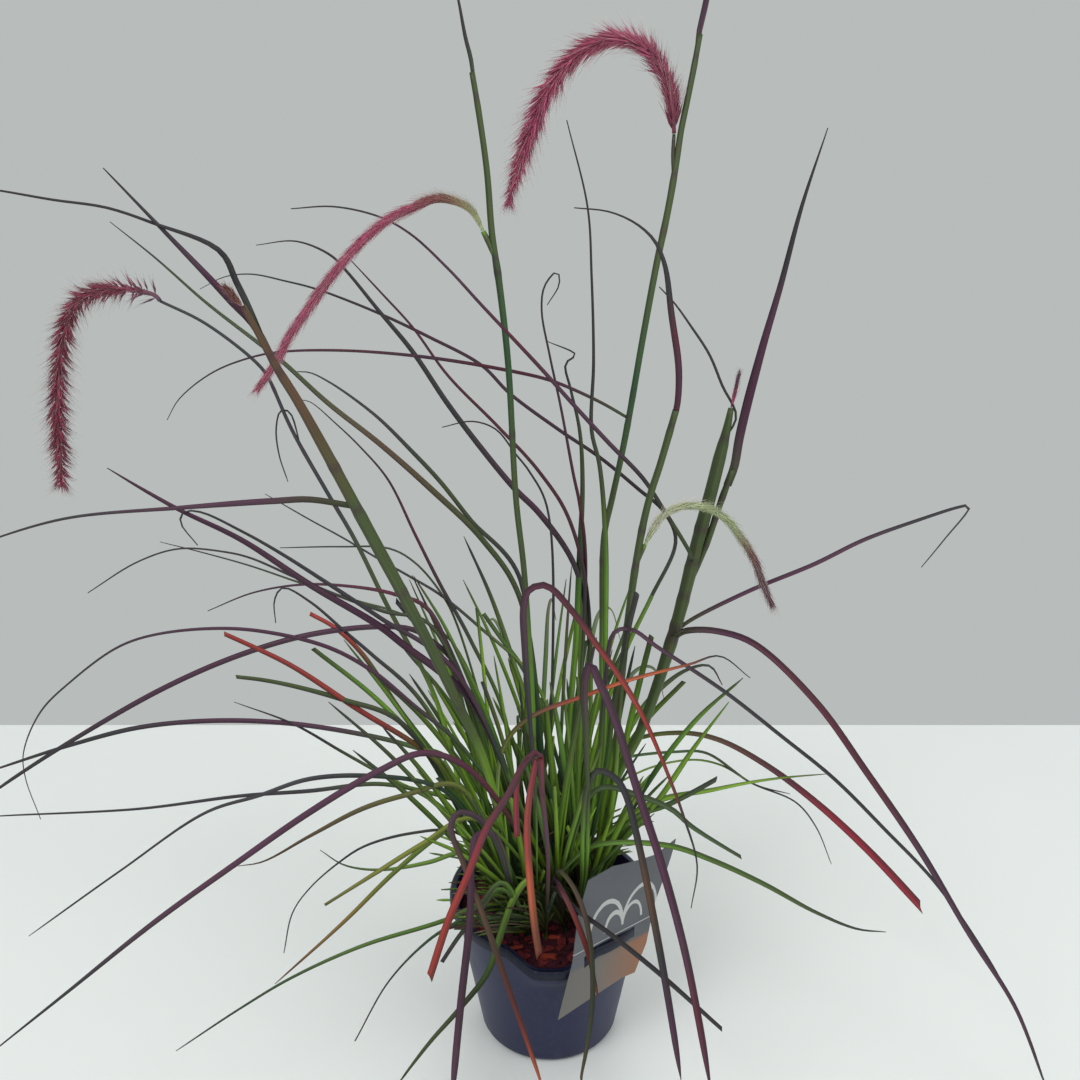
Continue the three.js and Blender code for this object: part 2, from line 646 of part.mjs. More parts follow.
function stemSolid(stem) {
  const pieces = stem.strands.map((strand, index) => {
    const points = strandPoints(stem, strand, index);
    return strand.radii ? stalkGeometry(stem, strand, points) : bladeGeometry(stem, strand, points);
  });
  const shoots = [];
  if (!stem.strands[0].fore) {
    shoots.push(shootGeometry(stem, SHORT_SHOOT));
  }
  if (stem.layer > REAR_LAYER) {
    shoots.push(shootGeometry(stem, TALL_SHOOT));
  }
  return fuse([...pieces, ...shoots]);
}

// Plumes: a slim core with bristles standing out of it, thick in the middle and thin at both ends

const PLUMES = [
  {
    name: 'plume_far_left', stem: 'flower_stem_far_left', core: 3, reach: 9, rings: 17, around: 4,
    course: [[160, 301], [156, 296], [130, 289], [100, 291], [78, 301], [68, 320], [62, 343], [59, 373],
      [58, 406], [59, 439], [61, 472], [61, 487]],
  },
  {
    name: 'plume_centre', stem: 'flower_stem_centre', core: 3, reach: 4.5, rings: 17, around: 4,
    course: [[483, 231], [476, 217], [464, 206], [442, 199], [419, 205], [394, 216], [372, 232],
      [354, 249], [336, 270], [320, 291], [306, 311], [292, 332], [279, 356], [267, 375], [258, 388]],
  },
  {
    name: 'plume_top', stem: 'flower_stem_top', core: 3, reach: 8, rings: 17, around: 4,
    course: [[674, 134], [673, 109], [669, 86], [660, 67], [648, 50], [632, 41], [615, 38], [599, 43],
      [582, 51], [566, 65], [556, 79], [545, 96], [537, 114], [530, 132], [524, 151], [517, 172],
      [511, 192], [509, 206]],
  },
  {
    name: 'plume_pale', stem: 'flower_stem_pale', core: 2.4, reach: 3, rings: 12, around: 4,
    course: [[645, 545], [651, 533], [659, 520], [669, 512], [680, 507], [702, 507], [722, 516],
      [739, 535], [753, 557], [762, 581], [772, 605]],
  },
  {
    name: 'plume_emerging_left', stem: 'flower_stem_left', core: 2.2, reach: 4, rings: 5, around: 3,
    course: [[242, 306], [235, 298, -170], [226, 288, -178]],
  },
  {
    name: 'plume_emerging_right', stem: 'flower_stem_right', core: 1.8, reach: 2.4, rings: 6, around: 3,
    course: [[731, 408], [735, 392], [739, 373]],
  },
];

function plumeSolid(plume) {
  const stem = STEMS.find((one) => one.name === plume.stem);
  const places = plume.course.map((point) => placeInLayer(stem.layer, point));
  const course = new THREE.CatmullRomCurve3(places, false, 'centripetal');
  // The core starts a hair's breadth past the stalk's end
  const first = FIT / course.getLength();
  const cut = [];
  const spans = Math.max(3, Math.round(course.getLength() / 20));
  for (let i = 0; i <= spans; i += 1) {
    cut.push(course.getPointAt(first + (1 - first) * (i / spans)));
  }
  const axis = new THREE.CatmullRomCurve3(cut, false, 'centripetal');
  const stations = cut.map((place, i) => i / spans);
  const facingAt = (place) => layerFacing(stem.layer, place);
  const fullness = (along) => 0.35 + 0.65 * smooth(0, 0.22, along) * (1 - 0.75 * smooth(0.7, 1, along));
  const core = sweep(axis, 5, stations, facingAt, (along) => {
    const radius = Math.max(0.6, plume.core * fullness(along) * (along > 0.995 ? 0.3 : 1));
    return { width: radius, depth: radius, turn: 0 };
  });
  const bristles = [];
  for (let ring = 0; ring < plume.rings; ring += 1) {
    const along = 0.07 + (0.92 * (ring + 0.5)) / plume.rings;
    const place = axis.getPointAt(along);
    const tangent = axis.getTangentAt(along);
    const facing = layerFacing(stem.layer, place);
    facing.addScaledVector(tangent, -facing.dot(tangent)).normalize();
    for (let k = 0; k < plume.around; k += 1) {
      const turn = ((k + 0.5 * (ring % 2)) / plume.around) * Math.PI * 2 + draw(-0.25, 0.25);
      const outward = facing.clone().applyAxisAngle(tangent, turn);
      const reach = plume.reach * (0.55 + 0.45 * fullness(along)) * draw(0.8, 1.15);
      const bristle = new THREE.ConeGeometry(0.95, reach * 1.9, 3, 1);
      bristle.translate(0, reach * 0.95, 0);
      const heading = outward.multiplyScalar(0.75).addScaledVector(tangent, 0.85).normalize();
      bristle.applyQuaternion(
        new THREE.Quaternion().setFromUnitVectors(new THREE.Vector3(0, 1, 0), heading),
      );
      bristle.translate(place.x, place.y, place.z);
      bristles.push(bristle);
    }
  }
  return fuse([core, ...bristles]);
}

// The pot: a tapered round wall with a turned-out lip that dips at the front

function wallRadius(height) {
  const share = (height - BASE_ROUNDING) / (POT_HEIGHT - LIP_DEPTH - BASE_ROUNDING);
  return THREE.MathUtils.lerp(POT_BASE_RADIUS, POT_NECK_RADIUS, share);
}

function potGeometry() {
  const lipBottom = POT_HEIGHT - LIP_DEPTH;
  const profile = [new THREE.Vector2(0, 0), new THREE.Vector2(POT_BASE_RADIUS - BASE_ROUNDING, 0)];
  for (const turn of [0.35, 0.7, 1]) {
    const angle = (turn * Math.PI) / 2;
    profile.push(new THREE.Vector2(
      POT_BASE_RADIUS - BASE_ROUNDING + BASE_ROUNDING * Math.sin(angle),
      BASE_ROUNDING - BASE_ROUNDING * Math.cos(angle),
    ));
  }
  profile.push(
    new THREE.Vector2(wallRadius(POT_HEIGHT - DIP_REACH_DOWN), POT_HEIGHT - DIP_REACH_DOWN),
    new THREE.Vector2(POT_NECK_RADIUS, lipBottom),
    new THREE.Vector2(LIP_RADIUS, lipBottom + 0.6),
    new THREE.Vector2(LIP_RADIUS, POT_HEIGHT - 2),
    new THREE.Vector2(LIP_RADIUS - 1.5, POT_HEIGHT),
    new THREE.Vector2(POT_NECK_RADIUS - WALL + 1.5, POT_HEIGHT),
    new THREE.Vector2(POT_NECK_RADIUS - WALL, lipBottom + 2),
    new THREE.Vector2(wallRadius(POT_HEIGHT - DIP_REACH_DOWN) - WALL, POT_HEIGHT - DIP_REACH_DOWN),
    new THREE.Vector2(POT_BASE_RADIUS - WALL - 1, BASE_ROUNDING),
    new THREE.Vector2(POT_BASE_RADIUS - BASE_ROUNDING, FLOOR_THICKNESS),
    new THREE.Vector2(0, FLOOR_THICKNESS),
  );
  const pot = new THREE.LatheGeometry(profile, 36);
  pot.rotateX(Math.PI / 2);
  const positions = pot.getAttribute('position');
  for (let i = 0; i < positions.count; i += 1) {
    const fromFront = Math.atan2(positions.getX(i), -positions.getY(i));
    const depth = DIP_DEPTH * (1 - smooth(0.25 * DIP_HALF_WIDTH, DIP_HALF_WIDTH, Math.abs(fromFront)));
    const height = positions.getZ(i);
    positions.setZ(i, height - depth * smooth(POT_HEIGHT - DIP_REACH_DOWN, POT_HEIGHT - 10, height));
  }
  return pot;
}

function potSolid() {
  let pot = toSolid(potGeometry());
  for (let i = 0; i < DRAIN_HOLES; i += 1) {
    const angle = (i / DRAIN_HOLES) * Math.PI * 2;
    const hole = new THREE.CylinderGeometry(DRAIN_RADIUS, DRAIN_RADIUS, FLOOR_THICKNESS * 4, 6);
    hole.rotateX(Math.PI / 2);
    hole.translate(Math.cos(angle) * DRAIN_CIRCLE, Math.sin(angle) * DRAIN_CIRCLE, 0);
    pot = pot.subtract(toSolid(hole));
  }
  return pot;
}

// The soil: bark compost, heaped towards the clump, with chips lying in the open ring and a hole
// for each stem

function soilWallRadius(height) {
  return wallRadius(height) - WALL - FIT - 1;
}

function soilSolid() {
  const profile = [new THREE.Vector2(0, FLOOR_THICKNESS + FIT)];
  profile.push(new THREE.Vector2(POT_BASE_RADIUS - BASE_ROUNDING - 2, FLOOR_THICKNESS + FIT));
  profile.push(new THREE.Vector2(soilWallRadius(12), 12));
  const rimRadius = soilWallRadius(SOIL_MIDDLE_HEIGHT - SOIL_FALL);
  for (const share of [1, 0.86, 0.7, 0.45]) {
    profile.push(new THREE.Vector2(rimRadius * share, soilHeight(rimRadius * share)));
  }
  profile.push(new THREE.Vector2(0, SOIL_MIDDLE_HEIGHT));
  const body = new THREE.LatheGeometry(profile, 24);
  body.rotateX(Math.PI / 2);
  let soil = toSolid(body);
  for (let i = 0; i < CHIP_COUNT; i += 1) {
    const angle = (i / CHIP_COUNT) * Math.PI * 2 + draw(-0.08, 0.08);
    const radius = rimRadius - draw(6, 15);
    const length = CHIP_LENGTH * draw(0.55, 1);
    const chip = new THREE.BoxGeometry(length, length * 0.5, 3.2);
    chip.rotateX(draw(-0.35, 0.35));
    chip.rotateY(draw(-0.2, 0.2));
    chip.rotateZ(angle + Math.PI / 2 + draw(-0.5, 0.5));
    chip.translate(Math.cos(angle) * radius, Math.sin(angle) * radius, soilHeight(radius) + 0.4);
    soil = soil.add(toSolid(chip));
  }
  for (const stem of STEMS) {
    const root = rootOf(stem);
    const radius = stem.room * 0.42 + 1.1;
    const hole = new THREE.CylinderGeometry(radius, radius, ROOT_DEPTH * 2 + 1.5, 5);
    hole.rotateX(Math.PI / 2);
    hole.translate(root.x, root.y, root.z + 0.2);
    soil = soil.subtract(toSolid(hole));
  }
  return soil;
}

// The plain plant tag, threaded on the lip at the front right. Its outline lies in its own upright plane.

const TAG_OUTLINE = [[-57, 90], [-22, 94], [16, 98], [31, 96], [44, 123], [52, 162], [62, 193], [72, 226],
  [47, 221], [27, 224], [-2, 229], [-27, 224], [-36, 194], [-42, 143]];
const TAG_SLIT = [[-29, 131.5], [-29, 143.5], [-18, 148.8], [28.6, 148.8], [28.6, 138.2], [-9, 138.2]];

function tagSolid() {
  const outline = new THREE.Shape(TAG_OUTLINE.map(([across, up]) => new THREE.Vector2(across, up)));
  const slit = new THREE.Path(TAG_SLIT.map(([across, up]) => new THREE.Vector2(across, up)));
  outline.holes.push(slit);
  const tag = new THREE.ExtrudeGeometry(outline, { depth: TAG_THICKNESS, bevelEnabled: false });
  tag.rotateX(Math.PI / 2);
  tag.translate(0, -TAG_DISTANCE, 0);
  tag.rotateZ(TAG_TURN + Math.PI / 2);
  return toSolid(tag);
}

// Materials

function finish(colour, roughness) {
  return new THREE.MeshStandardMaterial({ color: colour, roughness, metalness: 0 });
}

const BLADE_PURPLE = finish('#4d4150', 0.5);
const BLADE_GREEN = finish('#5c7636', 0.5);
const PLUME_PINK = finish('#a64a62', 0.85);
const PLUME_PALE = finish('#b3b48c', 0.85);
const POT_PLASTIC = finish('#3c4658', 0.4);
const SOIL_BARK = finish('#3a211b', 0.95);
const TAG_PLASTIC = finish('#a39d93', 0.35);

function pieceOf(name, solid, material) {
  const mesh = new THREE.Mesh(toGeometry(solid), material);
  mesh.name = name;
  return mesh;
}

const plant = new THREE.Group();
plant.add(pieceOf('pot', potSolid(), POT_PLASTIC));
plant.add(pieceOf('soil', soilSolid(), SOIL_BARK));
plant.add(pieceOf('tag', tagSolid(), TAG_PLASTIC));
for (const stem of STEMS) {
  const green = stem.name.startsWith('flower_stem') || stem.name.includes('green');
  plant.add(pieceOf(stem.name, stemSolid(stem), green ? BLADE_GREEN : BLADE_PURPLE));
}
for (const plume of PLUMES) {
  const pale = plume.name === 'plume_pale';
  plant.add(pieceOf(plume.name, plumeSolid(plume), pale ? PLUME_PALE : PLUME_PINK));
}

export default plant;
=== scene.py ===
"""Purple fountain grass in a round nursery pot: its looks, in metres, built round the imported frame."""
import json
import math
from dataclasses import dataclass
from functools import partialmethod

import bmesh
import bpy
import numpy as np
from mathutils import Euler, Matrix, Vector, noise

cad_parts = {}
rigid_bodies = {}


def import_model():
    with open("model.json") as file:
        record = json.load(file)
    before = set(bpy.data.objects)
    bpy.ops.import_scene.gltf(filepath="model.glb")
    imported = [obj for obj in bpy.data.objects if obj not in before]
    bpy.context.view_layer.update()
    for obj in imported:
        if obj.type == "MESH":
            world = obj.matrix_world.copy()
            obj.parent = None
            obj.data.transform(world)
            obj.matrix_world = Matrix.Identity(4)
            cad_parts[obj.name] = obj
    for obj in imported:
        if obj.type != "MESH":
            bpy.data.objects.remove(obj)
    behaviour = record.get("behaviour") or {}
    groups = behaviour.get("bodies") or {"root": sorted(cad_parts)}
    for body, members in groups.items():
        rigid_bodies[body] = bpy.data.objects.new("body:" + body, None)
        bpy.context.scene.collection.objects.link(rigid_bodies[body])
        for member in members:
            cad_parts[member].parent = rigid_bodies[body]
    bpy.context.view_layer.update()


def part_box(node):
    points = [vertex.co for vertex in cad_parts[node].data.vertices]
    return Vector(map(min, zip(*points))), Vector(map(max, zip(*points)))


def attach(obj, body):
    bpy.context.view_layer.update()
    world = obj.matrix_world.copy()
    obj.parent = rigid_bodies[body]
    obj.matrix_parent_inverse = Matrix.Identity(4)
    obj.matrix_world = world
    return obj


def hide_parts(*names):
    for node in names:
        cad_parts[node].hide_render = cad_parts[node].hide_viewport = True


bl_info = {
    "name": "Potted Purple Fountain Grass",
    "version": (1, 0, 0),
    "blender": (4, 5, 0),
    "location": "3D View > Sidebar > Grass",
    "description": "Builds the blades, plumes, pot, soil and tag of a potted fountain grass",
    "category": "Add Mesh",
}

for stale in list(bpy.data.objects):
    bpy.data.objects.remove(stale)
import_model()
POT_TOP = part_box("pot")[1]

# The pot, as in the solid that it stands for. The lip's outline is measured from its outer top edge.
LIP_RADIUS = POT_TOP.x
POT_HEIGHT = POT_TOP.z
POT_BASE_RADIUS = 0.067
POT_NECK_RADIUS = 0.0895
POT_STEPS = 168
LIP_DEPTH = 0.009
LIP_OUTLINE = ((-0.0004, -0.0088), (0, -0.0084), (0, -0.0028), (-0.0003, -0.0018), (-0.0015, 0),
               (-0.0055, 0), (-0.0062, -0.0004), (-0.0072, -0.0055))
WALL = 0.002
WALL_FOOT = 0.012
FLOOR_THICKNESS = 0.003
BASE_ROUNDING = 0.008
DIP_DEPTH = 0.018
DIP_HALF_WIDTH = 0.46
DIP_REACH_DOWN = 0.05
DIP_EDGE = 0.25
DIP_FULL_DEPTH = 0.01
UNDERSIDE_RING = 0.03
DRAIN_HOLES = 8
DRAIN_RADIUS = 0.005
DRAIN_CIRCLE = 0.044
DRILL_LENGTH = 0.02

# The soil: large chips lie in a ring near the wall, where the solid has them, and loose ones all over
FIT = 0.00035
SOIL_GAP = FIT + 0.001
SOIL_MIDDLE_HEIGHT = 0.134
SOIL_FALL = 0.009
SOIL_RIM_HEIGHT = SOIL_MIDDLE_HEIGHT - SOIL_FALL
SOIL_STEPS = 150
LARGE_CHIPS = 16
DRAWS_PER_CHIP = 6
LARGE_CHIP_LENGTH = 0.015
LARGE_CHIP_THICKNESS = 0.0032
LARGE_CHIP_RISE = 0.0004
OUTER_CHIP = (0.004, 0.013)
INNER_CHIP = (0.003, 0.007)
INNER_SOIL = 0.05
CHIP_BEVEL = 0.12
CHIP_ROUGHNESS = 0.06
CHIP_SLANT = 0.35
LUMPS = ((160, 0.0022), (420, 0.0012))
LUMPS_SINK = 0.0006
ROOT_DEPTH = 0.011

# The tag hangs on the lip. Its outlines are across and up, in its own plane.
TAG_DISTANCE = 0.0908
TAG_THICKNESS = 0.0008
TAG_TURN = math.radians(-54)
TAG_CELL = 0.006
TAG_FREE = (0.155, 0.225)
TAG_LEAN = 0.002
TAG_BOW = 0.0035
TAG_WAVES = 30
TAG_OUTLINE = ((-0.057, 0.09), (-0.022, 0.094), (0.016, 0.098), (0.031, 0.096), (0.044, 0.123),
               (0.052, 0.162), (0.062, 0.193), (0.072, 0.226), (0.047, 0.221), (0.027, 0.224),
               (-0.002, 0.229), (-0.027, 0.224), (-0.036, 0.194), (-0.042, 0.143))
TAG_SLIT = ((-0.029, 0.1315), (-0.029, 0.1435), (-0.018, 0.1488), (0.0286, 0.1488), (0.0286, 0.1382),
            (-0.009, 0.1382))

# The emblem on the tag: half circles from one foot, by their radius
TAG_EMBLEM_FOOT = (0.014, 0.158)
TAG_EMBLEM_STRETCH = 1.8
TAG_EMBLEM = (0.011, 0.02, -0.01, -0.019)

# The clump: stems stand one behind the other, each in a layer of its own
CROWN_HEIGHT = 0.14
LAYER_SPREAD = 10.5
LAYER_FILL = 0.84
FORE_LAYER = -0.036
REAR_LAYER = 0.014
FOOT_RISE = 0.005
LEAF_STEP = 0.013
LEAD_STEP = 0.002
DRAW_SEED = 20

# How a blade is shaped, in shares of its length from its foot, 0, to its tip, 1. The folds are how deep its
# channel is at its foot, its middle and its tip.
WIDTH_SHARES = (0, 0.12, 0.25, 0.5, 0.75, 0.95, 1)
SMOOTHED_ROWS = 7
BRANCH_FOOT = 0.9
CUT_TIP = 0.96
CUT_SLANT = 0.5
BLADE_COLUMNS = 5
BLADE_TILT = math.radians(48)
TILT_IN_ROOM = 0.85
FORE_TILT = 0.3
TILT_STARTS = (0.05, 0.3)
SWAY = 0.18
SWAY_STARTS = (0.1, 0.4)
LEAST_SHOWN = 0.55
FOLDS = (0.42, 0.18, 0.3)
UNFOLDS = (0.05, 0.4)
REFOLDS = (0.7, 1)
FOLD_ROUNDNESS = 1.3
BLADE_UNEVEN = 0.13

# How a stalk is shaped, with its joints and the collars of its leaves
STALK_COLUMNS = 15
STALK_JOINTS = (0.24, 0.43, 0.62, 0.8)
JOINT_SWELL = 0.1
COLLAR_SWELL = 0.14
JOINT_DARK = 0.6
COLLAR_DARK = 0.5
DARKEST_SHARE = 0.8
JOINT_TONE = 0.6
MARK_REACH = 0.003
COLLAR_REACH = 0.012
TUBE_END = 0.0002
MERGED = 1e-6

# Light in the crown: how near to it blades lie in shade, how much is left of a tone and of fresh green, and
# from which tones and from which share of their reach blades turn from green to their own tones
CROWN_SHADE = (0.03, 0.12)
SHADED_TONE = 0.34
SHADED_GREEN = 0.28
GREEN_FEET = "dgy"
GREEN_START = 0.4

# Young blades, drawn as in the solids, and those that only stand here. Fore stems have narrow ones.
SHORT_SHOOT = (0.06, 0.17)
TALL_SHOOT = (0.15, 0.29)
SHOOT_WIDTH = (0.0034, 0.006)
FORE_SHOOT_WIDTH = (0.002, 0.004)
SHOOT_ROW = 0.01
SHOOT_TILT = 0.5
SHOOT_UNEVEN = 0.4
MOST_LEAN = 0.4
MOST_FORE_LEAN = 0.75
SHOOT_TONES = ("dgyyo", "dgyo", "dgooc", "dggo", "dgyoc", "dgyyg", "ddgo", "ddooc", "dgobc", "ddggo")
THREAD_TONES = ("do", "dd", "og", "dg", "do", "bs", "dc", "ob")
TONE_NAMES = {
    "g": "fresh_green", "y": "yellow_green", "d": "deep_green", "o": "olive", "c": "charcoal",
    "p": "purple", "m": "maroon", "k": "crimson", "r": "red", "a": "orange", "b": "brown", "s": "straw",
    "W": "plume_cream", "G": "plume_green", "P": "plume_pink", "C": "plume_crimson",
    "D": "plume_maroon", "B": "plume_brown", "V": "plume_grey",
}

# Plumes: each spikelet stands a golden turn round from the one before it
GOLDEN_TURN = 2.39996
PLUME_STEP = 0.003
CORE_COLUMNS = 8
CORE_SHARE = 0.55
THINNEST_CORE = 0.0004
LONE_SPIKELETS = 0.35
TURN_UNEVEN = 0.25
ANGLE_UNEVEN = 0.2
ANGLES = (0.05, 1.3)
FORWARD_BEND = 0.22
DROOP = 0.08
HAIR_LEAN = 1.25

# The eye that reads the courses, in the picture's own points
PICTURE = 1080
MIDDLE = PICTURE / 2
FOCAL = 1081
EYE = np.array((-0.009, -0.86, 0.808))
LOOK_DOWN = math.radians(19.7)
SENSOR = 36

# Floor and lights: each lamp's name, place, size and share of the light
FLOOR_LEVEL = -0.0005
FLOOR_BACK = 0.574
FLOOR_HALF_WIDTH = 4
FLOOR_HALF_DEPTH = 2.5
LIGHT_TARGET = Vector((0, 0, 0.3))
LAMPS = (("key", (-1.6, -1.8, 2.6), 1.6, 1.0), ("fill", (2.0, -1.2, 1.8), 1.8, 0.5),
         ("back", (0.4, 2.4, 2.6), 1.6, 0.5))


# Numbers, colours and draws

class Draw:
    """The even random numbers that the solids are drawn with."""

    FACTOR = 1664525
    ADDEND = 1013904223
    RANGE = 2 ** 32

    def __init__(self, seed):
        self.seed = seed

    def __call__(self, low, high):
        self.seed = (self.seed * self.FACTOR + self.ADDEND) % self.RANGE
        return low + (high - low) * (self.seed / self.RANGE)


def smooth(low, high, value):
    """0 below low, 1 above high, with an easy rise in between."""
    share = np.clip((value - low) / (high - low), 0, 1)
    return share * share * (3 - 2 * share)


def unit(vectors):
    return vectors / np.maximum(np.linalg.norm(vectors, axis=-1, keepdims=True), 1e-9)


def shade(*screen):
    """A colour given as it looks on a screen, from 0 to 255, in the linear values that shaders take."""
    return tuple((((c / 255) + 0.055) / 1.055) ** 2.4 if c > 10 else c / 255 / 12.92 for c in screen)


# Places and courses

def place_at(px, py, depth):
    """The place at a depth that the eye sees at a picture point."""
    across = (px - MIDDLE) / FOCAL
    down = (py - MIDDLE) / FOCAL
    ray = np.array((
        across,
        math.cos(LOOK_DOWN) - down * math.sin(LOOK_DOWN),
        -math.sin(LOOK_DOWN) - down * math.cos(LOOK_DOWN),
    ))
    return EYE + ray * ((depth - EYE[1]) / ray[1])


def crown_distance(places):
    return np.hypot(places[..., 0], places[..., 2] - CROWN_HEIGHT)


def layer_growth(places):
    return 1 + LAYER_SPREAD * crown_distance(places)


def place_in_layer(layer, point):
    """A place in a layer. A depth of its own counts instead, but on a front stem only if it is nearer."""
    px, py, *depth = point
    place = place_at(px, py, layer)
    for _ in range(30):
        place = place_at(px, py, layer * layer_growth(place))
    own_depth = depth and (layer > FORE_LAYER or depth[0] < place[1])
    return place_at(px, py, depth[0]) if own_depth else place


def layer_facing(layer, places):
    """The way that a layer faces: about along Y, turned with the layer's cone."""
    distance = np.maximum(crown_distance(places), 0.001)
    slope = layer * LAYER_SPREAD
    return unit(np.stack((
        -slope * places[:, 0] / distance,
        np.ones(len(places)),
        -slope * (places[:, 2] - CROWN_HEIGHT) / distance,
    ), axis=1))


def distances(course):
    return np.r_[0, np.cumsum(np.linalg.norm(np.diff(course, axis=0), axis=1))]


def interpolated(at, known, rows):
    """Rows between the known ones, column by column."""
    return np.column_stack([np.interp(at, known, column) for column in rows.T])


def smooth_course(places, step):
    """Even points, about a step apart, on a centripetal curve through the places."""
    ends = np.vstack((2 * places[0] - places[1], places, 2 * places[-1] - places[-2]))
    gaps = np.maximum(np.linalg.norm(np.diff(ends, axis=0), axis=1), 1e-6) ** 0.5
    t = np.linspace(0, 1, 16, endpoint=False)[:, None]
    spans = []
    for i in range(len(places) - 1):
        a, b, c, d = ends[i:i + 4]
        before, here, after = gaps[i:i + 3]
        leave = here * ((b - a) / before - (c - a) / (before + here)) + (c - b)
        arrive = here * ((d - c) / after - (d - b) / (here + after)) + (c - b)
        bend = 3 * (c - b) - 2 * leave - arrive
        spans.append(b + leave * t + bend * t ** 2 + (2 * (b - c) + leave + arrive) * t ** 3)
    fine = np.vstack((*spans, places[-1:]))
    along = distances(fine)
    count = max(int(along[-1] / step), 6)
    return interpolated(np.linspace(0, along[-1], count + 1), along, fine)


def traced(course):
    """Picture points from their text: across, down and, where given, a depth of their own in millimetres."""
    points = [[float(number) for number in point.split(",")] for point in course.split()]
    return [(px, py, *(depth / 1000 for depth in own)) for px, py, *own in points]


# Stems: a leaf has its widths as seen, in millimetres, at a quarter, a half, three quarters and nearly all of
# its length. A stalk has its radii, evenly spread. The letters are tones from foot to tip.

@dataclass
class Strand:
    """A blade, with widths, or a stalk, with radii.

    A fore one hangs in front. A cut one has lost its tip. One that is off leaves its host, told by its
    place among the stem's strands, and doesn't come from the foot.
    """

    tones: str
    course: list
    widths: np.ndarray = None
    radii: np.ndarray = None
    fore: bool = False
    cut: bool = False
    off: bool = False
    host: int = 0


def leaf(widths, tones, course, **traits):
    return Strand(tones, traced(course), widths=np.array(widths) / 1000, **traits)


def stalk(radii, tones, course, **traits):
    return Strand(tones, traced(course), radii=np.array(radii) / 1000, **traits)


def soil_height(radius):
    return SOIL_MIDDLE_HEIGHT - SOIL_FALL * (radius / POT_NECK_RADIUS) ** 2


class Stem:
    """A tuft of blades that grew from one foot, or a flower stalk with its leaves.

    It is told in millimetres where its foot stands across, and how much room its layer takes in depth.
    """

    def __init__(self, name, root_x, room, *strands):
        self.name = name
        self.root_x = root_x / 1000
        self.room = room / 1000
        self.strands = strands
        self.layer = 0.0

    @property
    def footed(self):
        return not self.strands[0].fore

    def places_of(self, index):
        """The places that a strand runs through, from the foot or from its host."""
        strand = self.strands[index]
        places = [place_in_layer(self.layer, point) for point in strand.course]
        if strand.off:
            host = smooth_course(self.places_of(strand.host), LEAD_STEP)
            places[0] = host[np.argmin(np.linalg.norm(host - places[0], axis=1))]
            return np.array(places)
        if index > 0:
            return np.array([self.lead_place(LEAF_STEP * (index + 0.5)), *places])
        top = soil_height(math.hypot(self.root_x, self.layer))
        low = (self.root_x, self.layer, top - ROOT_DEPTH)
        high = (self.root_x, self.layer, top + FOOT_RISE)
        return np.array([low, high, *places])

    def lead_place(self, distance):
        """A place on the first strand, at a distance above the soil."""
        lead = smooth_course(self.places_of(0), LEAD_STEP)
        return lead[min(int((distance + ROOT_DEPTH) / LEAD_STEP), len(lead) - 1)]


